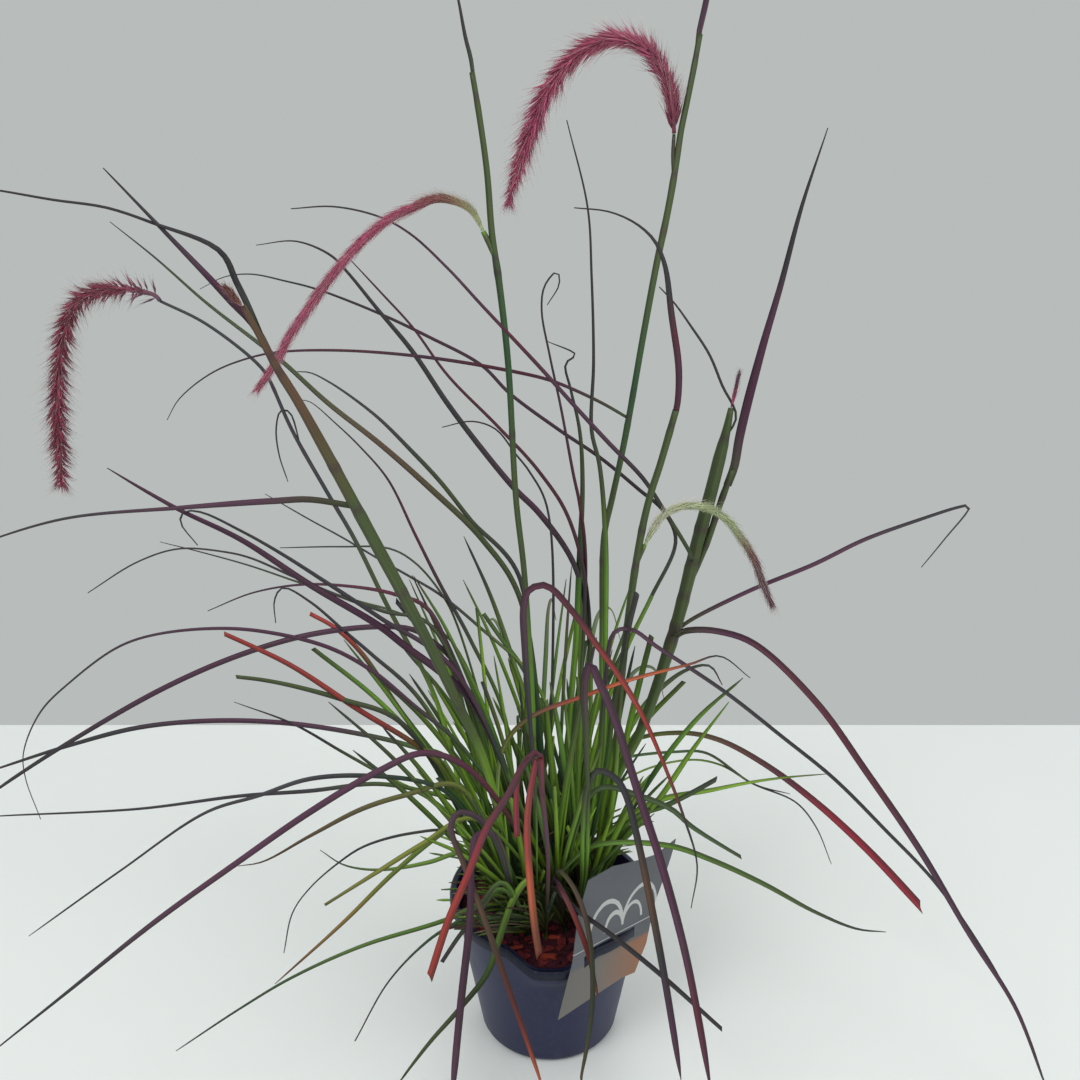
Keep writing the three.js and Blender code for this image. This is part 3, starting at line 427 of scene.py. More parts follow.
STEMS = (
    Stem("leafy_stem_folded", -4, 3,
         leaf((3.4, 4.6, 6, 6.4), "gompmmmkrr",
              "548,862,-62 542,795,-68 537,752,-74 527,760,-84 508,795,-96 487,828,-106 468,875,-118 "
              "448,922,-126 430,977,-134", fore=True, cut=True),
         leaf((4.4, 5.6, 6.2, 6.4), "mkrraa",
              "542,796 539,756,-158 532,780,-150 527,825,-140 530,882,-120 535,930,-106 539,955,-98",
              fore=True, cut=True, off=True),
         leaf((3.6, 4.4, 4.8, 4.8), "mkkk",
              "530,757,-80 519,774,-92 516,800,-97 517,836,-99", fore=True, cut=True, off=True)),
    Stem("leafy_stem_hanging_green", -20, 3,
         leaf((5, 6.4, 4.4, 2.6), "dgyygooo",
              "528,880,-68 513,900,-78 499,940,-95 488,972,-106 462,1006,-116 430,1042,-128 401,1080,-140 "
              "397,1086,-141", fore=True),
         leaf((4.6, 3.4, 1.6, 1.2), "ggodcc",
              "500,882,-66 480,905,-76 465,917,-84 430,939,-98 389,981,-112 355,1041,-124",
              fore=True, cut=True),
         leaf((3.4, 3.6, 4, 3.6), "dgoc",
              "498,888,-68 480,912,-80 463,931,-92 451,948,-98 442,962,-102", fore=True, cut=True)),
    Stem("leafy_stem_hanging_left", -32, 3,
         leaf((4, 5.6, 6.6, 6), "dooppppp",
              "505,856,-60 489,832,-76 478,834,-86 472,860,-96 470,919,-114 461,1005,-130 454,1080,-140 "
              "452,1100,-142", fore=True),
         leaf((4, 4.8, 5.4, 3.6), "occpbbra",
              "500,850,-58 478,817,-70 460,811,-80 451,824,-88 465,867,-101 482,912,-112 506,981,-120 "
              "530,1050,-126 540,1080,-129 543,1094,-130", fore=True)),
    Stem("leafy_stem_hanging_right", 14, 3,
         leaf((4, 4.2, 4.2, 3.4), "docccc",
              "556,888,-80 575,908,-96 609,933,-110 660,974,-126 722,1029,-140", fore=True, cut=True),
         leaf((4, 5, 5, 3), "opprra",
              "556,880,-78 566,898,-92 577,922,-104 588,953,-114 598,998,-122", fore=True),
         leaf((4, 4.4, 4.2, 2.8), "ooboob",
              "560,870,-74 572,885,-90 584,912,-106 591,950,-117 592,1005,-126 586,1050,-131 "
              "581,1080,-134 583,1087,-134", fore=True)),
    Stem("leafy_stem_sweeping", -12, 3,
         leaf((1.9, 4.6, 4.2, 1.3), "dggoccpmrrcc",
              "536,800,-60 530,720,-76 525,650,-92 524,604,-100 530,589,-106 545,585,-112 573,612,-122 "
              "596,644,-132 621,679,-142 646,723,-152 672,785,-164 684,818,-168 697,865,-172 691,908,-176",
              fore=True)),
    Stem("leafy_stem_sweeping_right", 24, 3,
         leaf((3.6, 6.2, 6.6, 5.6), "dggoopppppmp",
              "586,872 588,800,-62 586,730,-72 585,680,-80 590,664,-88 600,684,-98 614,717,-110 "
              "640,799,-128 660,860,-140 685,953,-154 709,1080,-170 711,1094,-172", fore=True),
         leaf((4, 5.6, 6.2, 5.4), "dggoccbcpp",
              "582,876 583,830 588,785,-74 599,770,-86 614,777,-98 625,793,-106 637,837,-116 660,953,-138 "
              "681,1080,-154", fore=True)),
    Stem("leafy_stem_low_a", -18, 2.8,
         leaf((4.5, 3.6, 2.3, 1.4), "gyoodc", "516,888 448,919 362,946 293,977 241,1008 176,1051"),
         leaf((4, 4.8, 4, 1.8), "ggyooc",
              "585,850 609,843 671,846 712,860 764,884 815,912 857,929 886,932")),
    Stem("leafy_stem_low_b", 10, 2.8,
         leaf((4.5, 5.6, 4.4, 1.6), "obmpppcc",
              "470,770 424,753 379,771 310,812 241,860 155,922 69,991 0,1046 -22,1064"),
         leaf((3.8, 4.4, 4.8, 3), "goccc", "600,788 640,796 671,809 691,826 729,850 741,857", cut=True),
         leaf((3, 4, 4.4, 2.6), "gbrb", "470,818 424,843 379,871 325,905", cut=True)),
    Stem("leafy_stem_low_c", -34, 2.8,
         leaf((4, 4.6, 4, 1.4), "gobbb", "455,785 406,795 362,809 310,836 262,862 238,866"),
         leaf((4.4, 4.6, 3.6, 1.8), "gobrb", "478,815 448,829 396,871 344,922 275,984"),
         leaf((3.6, 3.8, 1.8, 1.4), "odccc",
              "455,800 430,784 372,776 310,779 258,796 207,812 120,871 29,936"),
         leaf((2.6, 2.4, 1.2, 1), "ooccc", "455,832 413,833 365,846 337,864 310,888 293,912 284,953")),
    Stem("leafy_stem_low_d", 30, 2.8,
         leaf((4, 5, 4.4, 1.6), "ggyg", "620,845,-50 660,798 695,747 729,702"),
         leaf((4, 4.2, 4.6, 4), "ggocc", "603,848,-48 640,815 665,806 688,795 717,779", cut=True)),
    Stem("flower_stem_left", -26, 5,
         stalk((2.2, 2.6, 3.4, 4.2, 4.6, 3.8, 1.8), "dgyoooobb",
              "482,755 457,702 432,650 405,598 378,548 352,500 325,450 297,400 277,368 259,335 243,306"),
         leaf((4.2, 1.8, 1.4, 1), "occccc",
              "268,352 250,310,-150 236,282,-148 217,249 155,224 107,208 52,200 0,191 -35,186", off=True),
         leaf((5, 4, 2.2, 1.1), "bppcc",
              "282,372 254,326,-146 232,303,-148 206,275 155,222 103,168", off=True),
         leaf((4.6, 2.6, 1.8, 1.2), "oppcc",
              "352,507 310,499 275,501 179,508 69,518 0,537 -28,548", off=True)),
    Stem("leafy_stem_thick", 6, 2.8,
         leaf((4, 6.2, 4.8, 2.6), "gocpppp",
              "470,700 440,672 406,647 379,626 310,585 241,540 179,510 140,488 107,468"),
         leaf((3.6, 4, 3, 1.3), "gocpccc",
              "452,668 380,618 330,585 280,553 241,531 200,512 184,512 181,522 198,545"),
         leaf((5, 5.4, 2.8, 1.3), "ggyyo", "600,840 654,802 712,790 747,783 781,778 826,774")),
    Stem("leafy_stem_red", -42, 2.8,
         leaf((4, 4.6, 4.6, 3.6), "gobbrrr", "440,765 413,743 362,712 293,667 255,648 224,634", cut=True),
         leaf((3.8, 4, 4.4, 3.2), "gocoo", "400,722 344,700 293,686 262,680 236,677", cut=True),
         leaf((3.6, 4, 3.4, 0.9), "dgopmmraacc",
              "498,800 503,750 518,727 540,712 581,697 626,681 671,669 691,664 719,656 750,678")),
    Stem("leafy_stem_long_right", 26, 2.8,
         leaf((3.6, 3.3, 3, 2.4), "gdocpcccccc",
              "600,760 606,680 615,632 630,629 657,647 688,667 729,695 781,736 833,778 884,829 936,884 "
              "988,960 1015,1008"),
         leaf((3.6, 4.4, 4.6, 4.4), "ggoc", "606,770 615,700 624,660 630,625 638,593", cut=True),
         leaf((4, 3.6, 2.2, 1.4), "gocccc",
              "520,840 460,802 430,793 379,784 310,791 241,796 138,809 0,816 -24,818")),
    Stem("flower_stem_pale", 38, 5,
         stalk((2, 2.6, 3, 3, 2.6), "dggoooooo",
              "612,800 618,720 628,620 640,540 650,496 660,465 676,410"),
         stalk((2, 1.6), "gg", "636,565 640,555 645,545", off=True),
         leaf((5, 4.2, 1.3, 0.9), "mpmcccc",
              "672,424 677,405 678,372 670,310 664,265 654,241 636,224 609,212 574,208", off=True)),
    Stem("flower_stem_right", 46, 5,
         stalk((2.2, 2.7, 3.2, 3.7, 4.2, 4.5, 4.8, 5, 5.2, 5.4, 5.4, 5, 2.2), "dggoooooooo",
              "612,790 640,732 655,692 668,652 679,615 688,580 696,548 704,518 712,488 719,460 727,428 "
              "731,408"),
         stalk((2, 2.7, 2.4), "ooo", "686,596 697,567 708,540 720,504 733,469", off=True),
         leaf((7.2, 5, 3.2, 1.1), "opppccc",
              "727,486 734,466 739,440 747,408 764,344 781,286 802,207 828,128", off=True, host=1),
         leaf((1.9, 1.8, 1.5, 1), "dcccc",
              "727,440 736,417 722,386 709,355 691,327 674,303 659,287", off=True),
         leaf((3.6, 3.5, 2.5, 1.3), "opppccc",
              "678,634 690,620 747,592 815,564 864,540 919,520 960,507 969,506 943,540 921,567", off=True),
         leaf((5.4, 5.5, 4.2, 2.4), "opmmmppppc",
              "676,638 690,629,-42 719,631,-48 753,643,-54 815,702,-62 867,774,-72 919,850,-82 "
              "970,936,-94 1015,1008,-104 1043,1080,-118 1048,1092,-120", off=True),
         leaf((3.4, 2.7, 1.8, 1.1), "docppmpppcc",
              "694,562 688,549,-40 663,509,-38 643,479,-36 609,444,-32 574,406,-28 540,368,-22 482,306,4 "
              "448,269,34 410,234,58 379,217,70 334,207,78 291,209,84", off=True)),
    Stem("leafy_stem_arching", 14, 2.8,
         leaf((4, 3.5, 1.5, 1.1), "gocpppccc",
              "460,745 413,705 372,671 327,647 258,631 205,629 150,636 117,648 72,681 41,712 24,753 "
              "26,778 41,819"),
         leaf((3.2, 4.8, 6.6, 7.4), "gdobmmkkk",
              "605,800 618,752 640,738 685,733 719,740 764,764 815,802 867,850 920,907", cut=True),
         leaf((4, 4.4, 2.4, 1.1), "gddcc", "480,856 458,853 430,862 379,870 344,865 320,850")),
    Stem("flower_stem_centre", -12, 5,
         stalk((2, 2.4, 2.6, 2.6, 2.8, 2.2), "dggoodoo",
              "535,800 532,694 530,656 524,570 516,499 508,362 499,282 492,234 487,172 479,114 472,72"),
         stalk((2.2, 2), "gg", "495,256 489,243 483,231", off=True),
         leaf((3.2, 2.6, 1.5, 1), "occ", "476,95 470,58 465,38 458,0 450,-34", off=True)),
    Stem("leafy_stem_curling", -30, 2.8,
         leaf((4.4, 5, 4.8, 3), "gocpppcc",
              "455,665 430,640 413,630 379,627 310,635 241,655 165,688 69,743 0,788 -24,806"),
         leaf((4, 4, 2.8, 1.2), "gocc", "420,700 372,655 345,632 310,602 283,588 275,600 276,623"),
         leaf((3.6, 3.2, 1.6, 1.1), "gocc",
              "430,625 385,612 344,598 296,578 250,558 224,552 179,549 138,562 88,593")),
    Stem("leafy_stem_upright", 22, 2.8,
         leaf((4, 4.6, 2.2, 1.2), "dgggoccc",
              "603,760 606,640 606,540 600,465 592,430 594,362 592,275 588,207 567,120"),
         leaf((4, 5, 4.6, 1.3), "gggoc", "606,800 622,747 640,712 654,695 685,671 709,666 722,685")),
    Stem("flower_stem_top", 6, 5,
         stalk((2, 2.6, 2.8, 2.8, 3, 2.4), "dggoodooo",
              "598,760 602,640 604,537 612,499 621,458 629,417 643,337 657,262 666,220 671,194 677,158 "
              "681,131 687,102 694,67 700,34"),
         stalk((1.8, 1.4), "oo", "671,176 673,156 674,134", off=True),
         leaf((4.4, 5, 5, 4), "pppc", "697,55 700,31 707,0 713,-32", off=True),
         leaf((3, 2.6, 1.6, 1), "opmpmpcc",
              "632,420 628,418 602,403 561,384 540,377 482,365 413,355 344,350 286,351 255,356 213,372 "
              "179,399 167,420", off=True)),
    Stem("leafy_stem_level", -46, 2.8,
         leaf((4.6, 4.8, 4.6, 2.4), "gocppccc",
              "450,760 413,747 379,738 293,724 213,721 138,728 62,748 0,768 -22,775"),
         leaf((4, 3.4, 2.4, 1.1), "gocc", "440,806 389,778 344,753 293,724 234,702"),
         leaf((4.2, 4.2, 2.4, 1.1), "gocmpc", "430,612 396,595 344,586 300,585 253,593 208,611")),
    Stem("leafy_stem_middle", 18, 2.8,
         leaf((3.4, 3.4, 2.6, 1.6), "gdocmmmp",
              "590,620 570,520 540,472 499,427 448,375 413,327 382,293 351,260"),
         leaf((3.4, 3.3, 2, 1.4), "gdocmpcc",
              "586,560 580,503 574,475 561,406 550,355 542,310 545,286 557,272 559,284 547,305")),
    Stem("flower_stem_far_left", -24, 5,
         stalk((2, 2.4, 2.2, 1.8, 1.4), "dggoocccc",
              "470,850 458,781 451,747 430,685 389,609 355,540 327,492 292,430 270,381 264,371 248,355 "
              "203,322 160,301"),
         leaf((1.5, 1.5, 1.3, 1.1), "cc", "300,446 290,412 281,410 276,428 279,455 288,482", off=True)),
    Stem("leafy_stem_olive", 0, 2.8,
         leaf((4.4, 5.8, 4, 1.5), "gdoobooc",
              "520,600 482,540 430,489 379,444 327,403 282,362 255,341 206,303 155,258 110,222"),
         leaf((2.4, 2.4, 1.9, 1.2), "occ", "548,510 530,472 516,454 496,429 472,421 442,427")),
    Stem("leafy_stem_crossing", 34, 2.8,
         leaf((4, 5.8, 4.4, 1.4), "gdocpcccc",
              "590,640 575,565 540,513 516,489 482,448 448,403 413,351 379,310 348,272 331,255 296,241 "
              "256,245"),
         leaf((5.6, 6, 3.8, 1.6), "dggggdoocc",
              "566,820 568,751 572,694 577,636 580,560 583,482 580,430 571,389 566,364 576,355 547,341")),
    Stem("leafy_stem_long_left", -36, 2.8,
         leaf((4, 4.2, 4.2, 1.6), "goococc",
              "520,580 470,520 440,482 410,450 380,420 355,400 330,383 310,373 295,372"),
         leaf((3.6, 3.6, 2.2, 1.1), "ggocmcc",
              "505,720 470,640 440,585 415,535 388,480 360,447 335,423 310,402 300,400"),
         leaf((3.6, 4, 5, 4.4), "ggooborr", "440,760 400,710 362,654 335,628 310,614", cut=True)),
    Stem("leafy_stem_slanting", -14, 2.8,
         leaf((4, 3.4, 3, 1.2), "ddocppcc",
              "600,700 650,600 676,540 663,510 640,490 600,457 560,430 510,393 482,365 430,337 379,313 "
              "317,289 286,281 251,274 224,277 200,289")),
    Stem("leafy_stem_low_right", 30, 2.8,
         leaf((3, 2.6, 2.4, 1.4), "gdocc", "590,810 600,775 620,760 678,752 705,753 753,784 790,794"),
         leaf((2, 1.9, 1.5, 1.2), "gdoccc",
              "600,800 640,772 690,760 720,765 753,784 795,802 815,826 831,864")),
    Stem("leafy_stem_thin_left", -28, 2.8,
         leaf((3.2, 3, 2, 1.3), "gdoccc",
              "548,720 530,675 480,628 440,595 410,577 380,560 341,537 310,520 265,494"),
         leaf((2.2, 2.2, 1.8, 1.2), "goc", "455,620 440,592 415,563 390,549 340,547 280,548"),
         leaf((2.2, 2.3, 1.8, 1.1), "goc", "450,640 395,612 360,602 300,583 250,566 200,552 160,542")),
    Stem("leafy_stem_cut", 10, 2.8,
         leaf((3.6, 4.2, 4.1, 4.2), "dggo", "540,760 532,690 520,665 500,638 483,614", cut=True),
         leaf((3.6, 4.1, 4.2, 3.8), "ggo", "535,770 525,715 508,658")),
    Stem("leafy_stem_back_left", -20, 2.8,
         leaf((4.4, 5.4, 3.8, 1.4), "gocpc", "530,720,135 512,660,180 496,622,260 486,622,330"),
         leaf((4.2, 4.8, 3.2, 1.3), "gocmc", "540,740 545,660,190 548,610,290 552,600,360 556,620,400")),
    Stem("leafy_stem_back_right", 8, 2.8,
         leaf((4.4, 5.4, 3.8, 1.4), "gocpc", "580,720 590,650,190 600,612,290 612,612,370 620,640,410"),
         leaf((4.2, 4.8, 3.2, 1.3), "gocmc", "600,740 622,690,170 640,668,250 656,672,320 664,700,360")),
)

# Each stem takes its layer from its place in the list, the front one first
CLUMP_DEPTH = sum(stem.room for stem in STEMS)
reached = -CLUMP_DEPTH / 2
for stem in STEMS:
    stem.layer = reached + stem.room / 2
    reached += stem.room


# Meshes in the making: each point has a tone and a form, which the finishes read

def tones_along(looks, letters, share):
    """The colours at shares of a length, from the letters of its tones."""
    colours = np.array([getattr(looks, TONE_NAMES[letter]) for letter in letters])
    return interpolated(share, np.linspace(0, 1, len(letters)), colours)


def new_shape():
    """An empty mesh in the making, with a tone and a form for each of its points."""
    shape = bmesh.new()
    tone = shape.verts.layers.float_color.new("tone")
    form = shape.verts.layers.float_vector.new("form")
    return shape, (tone, form)


def add_sheet(shape, layers, grid, tones, forms):
    """A sheet on a grid of places, from its rows' tones and the three values of its form."""
    rows, columns, _ = grid.shape
    tones = np.broadcast_to(tones[:, None, :], grid.shape)
    forms = np.stack(np.broadcast_arrays(*forms), axis=2)
    verts = bmesh.ops.create_grid(shape, x_segments=columns - 1, y_segments=rows - 1, size=1)["verts"]
    tone, form = layers
    for vert, place, colour, marks in zip(verts, *(values.reshape(-1, 3) for values in (grid, tones, forms))):
        vert.co = place
        vert[tone] = (*colour, 1)
        vert[form] = marks
    return verts


def finished(shape, name, soft=True):
    mesh = bpy.data.meshes.new(name)
    shape.to_mesh(mesh)
    shape.free()
    if soft:
        mesh.shade_smooth()
    return mesh


def in_scene(name, data):
    """A new object in the scene."""
    made = bpy.data.objects.new(name, data)
    bpy.context.scene.collection.objects.link(made)
    return made


def evaluated(source, *helpers):
    """The mesh that an object's modifiers make of it. The object and its helpers go."""
    bpy.context.view_layer.update()
    mesh = bpy.data.meshes.new_from_object(source.evaluated_get(bpy.context.evaluated_depsgraph_get()))
    for helper in (source, *helpers):
        bpy.data.objects.remove(helper)
    return mesh


def placed(mesh, material, slot, *nodes):
    """A finished piece: it rides on the only body and stands for its solids."""
    piece = in_scene(mesh.name, mesh)
    piece.data.materials.append(material)
    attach(piece, "root")
    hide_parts(*nodes)


# Blades and stalks

def evened(rows, count):
    """Each row as the mean of the rows round it."""
    padded = np.pad(rows, ((count // 2, count // 2), (0, 0)), mode="edge")
    return np.column_stack([np.convolve(column, np.ones(count) / count, mode="valid")
                            for column in padded.T])


def frames_along(layer, course, turns):
    """The tangent, the side and the facing at each point of a course, with the layer's facing turned."""
    tangent = unit(np.gradient(course, axis=0))
    facing = layer_facing(layer, course)
    facing = unit(facing - tangent * (facing * tangent).sum(1, keepdims=True))
    facing = evened(facing, 5)
    facing = unit(facing - tangent * (facing * tangent).sum(1, keepdims=True))
    around = np.cross(tangent, facing)
    turned = facing * np.cos(turns)[:, None] + around * np.sin(turns)[:, None]
    return tangent, np.cross(tangent, turned), turned


def shown_share(tangent, side, course):
    """How much of a width shows from the eye."""
    across = unit(np.cross(tangent, course - EYE))
    return np.abs((side * across).sum(1))


def closed_ends(course):
    """A course with a point just inside each end, so that a tube closes at once."""
    first = course[0] + unit(course[1] - course[0]) * TUBE_END
    last = course[-1] + unit(course[-2] - course[-1]) * TUBE_END
    return np.vstack((course[:1], first, course[1:-1], last, course[-1:]))


def tube(layer, course, radius, columns):
    """Angles and rings of points round a course. The rings meet at the side away from the eye."""
    radius[[0, -1]] = 0
    _, side, facing = frames_along(layer, course, np.zeros(len(course)))
    angle = np.linspace(-math.pi, math.pi, columns)
    ring = side[:, None, :] * np.sin(angle)[None, :, None] - facing[:, None, :] * np.cos(angle)[None, :, None]
    return angle, course[:, None, :] + ring * radius[:, None, None]


def young(width, chance):
    """A young blade, which here and there has lost its tip."""
    cut = chance.random() < 0.3
    shares = (0.9, 1, 0.95, 0.85) if cut else (0.9, 1, 0.9, 0.5)
    return leaf(width * 1000 * np.array(shares), str(chance.choice(SHOOT_TONES)), "", cut=cut)


def solid_shoots(stem, draw):
    """The height, the lean and the width of the young blades that the stem's solid has too."""
    ranges = [SHORT_SHOOT] if stem.footed else []
    if stem.layer > REAR_LAYER:
        ranges.append(TALL_SHOOT)
    outward = stem.root_x / 0.13
    return [(draw(*heights), draw(-0.4, 0.4) + outward, draw(0.0028, 0.0046)) for heights in ranges]


class Tuft:
    """A stem's mesh in the making, with the draws that belong to it."""

    def __init__(self, stem, looks):
        self.stem = stem
        self.looks = looks
        self.shape, self.layers = new_shape()
        self.chance = np.random.default_rng(STEMS.index(stem) + 1)

    def tones_of(self, strand, course, share, spread=0.0):
        """A strand's tones, which start from shaded, fresh green where it leaves the crown."""
        tones = tones_along(self.looks, strand.tones, share)
        if spread:
            tones = tones * self.chance.uniform(1 - spread, 1 + spread)
        distance = crown_distance(course)[:, None]
        lit = smooth(*CROWN_SHADE, distance)
        tones = tones * (SHADED_TONE + (1 - SHADED_TONE) * lit)
        if strand.fore or strand.tones[0] not in GREEN_FEET:
            return tones
        mixed = self.chance.random()
        green = np.array(self.looks.deep_green) * (1 - mixed) + np.array(self.looks.yellow_green) * mixed
        green = green * (SHADED_GREEN + (1 - SHADED_GREEN) * lit)
        reach = self.looks.green_reach
        return green + (tones - green) * smooth(reach * GREEN_START, reach, distance)

    def seen_widths(self, strand, share):
        """A blade's width as it is seen, at shares of its length."""
        foot = strand.widths[0] * BRANCH_FOOT if strand.off else min(self.looks.foot_width, strand.widths[0])
        tip = strand.widths[-1] * CUT_TIP if strand.cut else self.looks.tip_width
        seen = np.interp(share, WIDTH_SHARES, (foot, strand.widths[0], *strand.widths, tip))
        return np.append(evened(seen[:, None], SMOOTHED_ROWS)[:-3, 0], seen[-3:])

    def tilted_frames(self, strand, course, share, tilt):
        """The frames of a blade, tilted the way that shows more of it, and how much of its width shows."""
        chance = self.chance
        sway = chance.uniform(-SWAY, SWAY) * np.sin(share * chance.uniform(5, 11) + chance.uniform(0, 6))
        fits = []
        for way in (1, -1):
            turns = way * tilt * smooth(*TILT_STARTS, share) + sway * smooth(*SWAY_STARTS, share)
            frames = frames_along(0.0 if strand.fore else self.stem.layer, course, turns)
            shown = shown_share(*frames[:2], course)
            fits.append((shown.mean(), way, frames, shown))
        return max(fits, key=lambda fit: fit[:2])[2:]

    def add_blade(self, strand, places, lean=1.0, row_length=None, spread=BLADE_UNEVEN):
        """A long leaf: channelled along its middle, wide early and drawn out to a fine tip."""
        course = smooth_course(places, row_length or self.looks.row_length)
        share = np.linspace(0, 1, len(course))
        seen = self.seen_widths(strand, share)
        room = LAYER_FILL * self.stem.room * layer_growth(course)
        tilt = np.minimum(BLADE_TILT, np.arctan(room / seen.max()) * TILT_IN_ROOM)
        if strand.fore:
            tilt = FORE_TILT
        (tangent, side, facing), shown = self.tilted_frames(strand, course, share, tilt * lean)
        width = seen / np.clip(shown, LEAST_SHOWN, 1)
        at_foot, at_middle, at_tip = FOLDS
        fold = at_foot + (at_middle - at_foot) * smooth(*UNFOLDS, share)
        fold = (fold + (at_tip - at_middle) * smooth(*REFOLDS, share)) * self.looks.channel
        across = np.linspace(-1, 1, BLADE_COLUMNS)
        dip = -np.abs(across)[None, :, None] ** FOLD_ROUNDNESS * fold[:, None, None]
        bent = side[:, None, :] * across[None, :, None] + facing[:, None, :] * dip
        grid = course[:, None, :] + bent * width[:, None, None] / 2
        if strand.cut:
            slant = self.chance.uniform(-CUT_SLANT, CUT_SLANT)
            grid[-1] += tangent[-1] * (across * slant * width[-1])[:, None]
        tones = self.tones_of(strand, course, share, spread)
        forms = (across, distances(course)[:, None], self.chance.random())
        add_sheet(self.shape, self.layers, grid, tones, forms)

    def add_stalk(self, strand, places, collars):
        """A round stalk in its leaf sheaths, a little thicker at each joint and below each leaf's collar."""
        course = closed_ends(smooth_course(places, self.looks.row_length))
        along = distances(course)
        share = along / along[-1]
        radius = np.interp(share, np.linspace(0, 1, len(strand.radii)), strand.radii)
        darker = np.zeros(len(course))
        for joint in STALK_JOINTS:
            near = np.exp(-(((share - joint) * along[-1]) / MARK_REACH) ** 2)
            radius *= 1 + JOINT_SWELL * near
            darker += JOINT_DARK * near
        for collar in collars:
            past = along - along[np.argmin(np.linalg.norm(course - collar, axis=1))]
            radius *= 1 + COLLAR_SWELL * np.exp(-np.abs(past) / COLLAR_REACH) * (past < 0)
            darker += COLLAR_DARK * np.exp(-(past / MARK_REACH) ** 2)
        angle, grid = tube(self.stem.layer, course, radius, STALK_COLUMNS)
        tones = self.tones_of(strand, course, share)
        dark = np.array(self.looks.purple) * JOINT_TONE
        tones = tones + (dark - tones) * np.clip(darker, 0, DARKEST_SHARE)[:, None]
        forms = (angle / math.pi, along[:, None], self.chance.random())
        verts = add_sheet(self.shape, self.layers, grid, tones, forms)
        bmesh.ops.remove_doubles(self.shape, verts=verts, dist=MERGED)

    def shoot_places(self, above, height, spread, droop):
        """A young blade's course in its stem's own layer, leaning outwards, from a place above the soil."""
        start = self.stem.lead_place(above)
        places = [start]
        for part in (0.4, 0.75, 1.0):
            place = start + height * np.array((
                math.sin(spread) * part * (0.7 + 0.3 * part) * (1 + droop * part),
                0,
                math.cos(spread) * part * (1 - droop * part * part),
            ))
            place[1] = self.stem.layer * layer_growth(place)
            places.append(place)
        return np.array(places)

    def add_shoots(self):
        """Young shoots round the foot, besides the ones that the solid has."""
        chance = self.chance
        for _ in range(self.looks.shoots):
            lean = min(chance.normal(-0.12, 0.2) + self.stem.root_x / 0.2, MOST_LEAN)
            tall = 0.07 + 0.26 * chance.random() ** 1.7
            if not self.stem.footed:
                lean = chance.uniform(-0.7, 0.3)
                tall = 0.03 + 0.05 * chance.random()
            places = self.shoot_places(chance.uniform(0.004, 0.03), tall, lean, chance.uniform(0, 0.14))
            width = chance.uniform(*(SHOOT_WIDTH if self.stem.footed else FORE_SHOOT_WIDTH))
            self.add_blade(young(width, chance), places, SHOOT_TILT, SHOOT_ROW, SHOOT_UNEVEN)

    def add_threads(self):
        """Fine dry threads round the foot. Those of the front stems lean to the left."""
        chance = self.chance
        for _ in range(self.looks.threads):
            strand = leaf(np.full(4, chance.uniform(1, 2.4)), str(chance.choice(THREAD_TONES)), "")
            above = chance.uniform(0.006, 0.025)
            lean = chance.normal(0, 0.8)
            if self.stem.layer < 0:
                lean = -min(abs(lean), MOST_FORE_LEAN)
            places = self.shoot_places(above, chance.uniform(0.025, 0.075), lean, chance.uniform(0.1, 0.45))
            self.add_blade(strand, places, SHOOT_TILT)


def stem_mesh(stem, looks, shoots):
    """All blades of a stem, fused to its foot, with the young shoots and dry threads round it."""
    tuft = Tuft(stem, looks)
    for index, strand in enumerate(stem.strands):
        if strand.radii is None:
            tuft.add_blade(strand, stem.places_of(index))
    for height, spread, width in shoots:
        places = tuft.shoot_places(0.008, height, spread, 0)
        tuft.add_blade(young(width, tuft.chance), places, SHOOT_TILT)
    tuft.add_shoots()
    tuft.add_threads()
    bmesh.ops.solidify(tuft.shape, geom=tuft.shape.faces[:], thickness=looks.thickness)
    for index, strand in enumerate(stem.strands):
        if strand.radii is not None:
            collars = [stem.places_of(i)[0] for i, other in enumerate(stem.strands)
                       if other.off and other.host == index]
            tuft.add_stalk(strand, stem.places_of(index), collars)
    bmesh.ops.recalc_face_normals(tuft.shape, faces=tuft.shape.faces[:])
    return finished(tuft.shape, stem.name + "_blades")


# Plumes

def in_a_row(mesh, count):
    """A mesh with many copies of another, one after the other, for their points to be placed."""
    one = in_scene("one", mesh)
    row = one.modifiers.new("row", "ARRAY")
    row.count = count
    row.use_relative_offset = False
    row.use_constant_offset = True
    row.constant_offset_displace = (0, 0, 0)
    return evaluated(one)


def points_of(mesh):
    places = np.zeros(len(mesh.vertices) * 3)
    mesh.vertices.foreach_get("co", places)
    return places.reshape(-1, 3)


def set_points(mesh, places, tones, forms):
    mesh.vertices.foreach_set("co", places.ravel())
    colours = np.column_stack((tones, np.ones(len(tones))))
    for name, kind, values, field in (("tone", "FLOAT_COLOR", colours, "color"),
                                      ("form", "FLOAT_VECTOR", forms, "vector")):
        attribute = mesh.attributes.new(name, kind, "POINT")
        attribute.data.foreach_set(field, values.astype(np.float32).ravel())


@dataclass
class Plume:
    """A flower head: spikelets and bristles round a slim stalk. Densities are per metre of its course.

    Its spikelets are sparse up to a share of its length. Start and end tell how long they are at its foot
    and its tip, against its middle.
    """

    name: str
    stem: str
    core: float
    spikelet: float
    lean: float
    density: float
    inner: str
    outer: str
    hair: float
    hairs: float
    sparse: float
    start: float
    end: float
    course: str

    def fullness(self, share):
        """The length of the spikelets along the plume, against its middle."""
        full = self.start + (1 - self.start) * smooth(0, 0.15, share)
        return full * (1 + (self.end - 1) * smooth(0.72, 1, share))


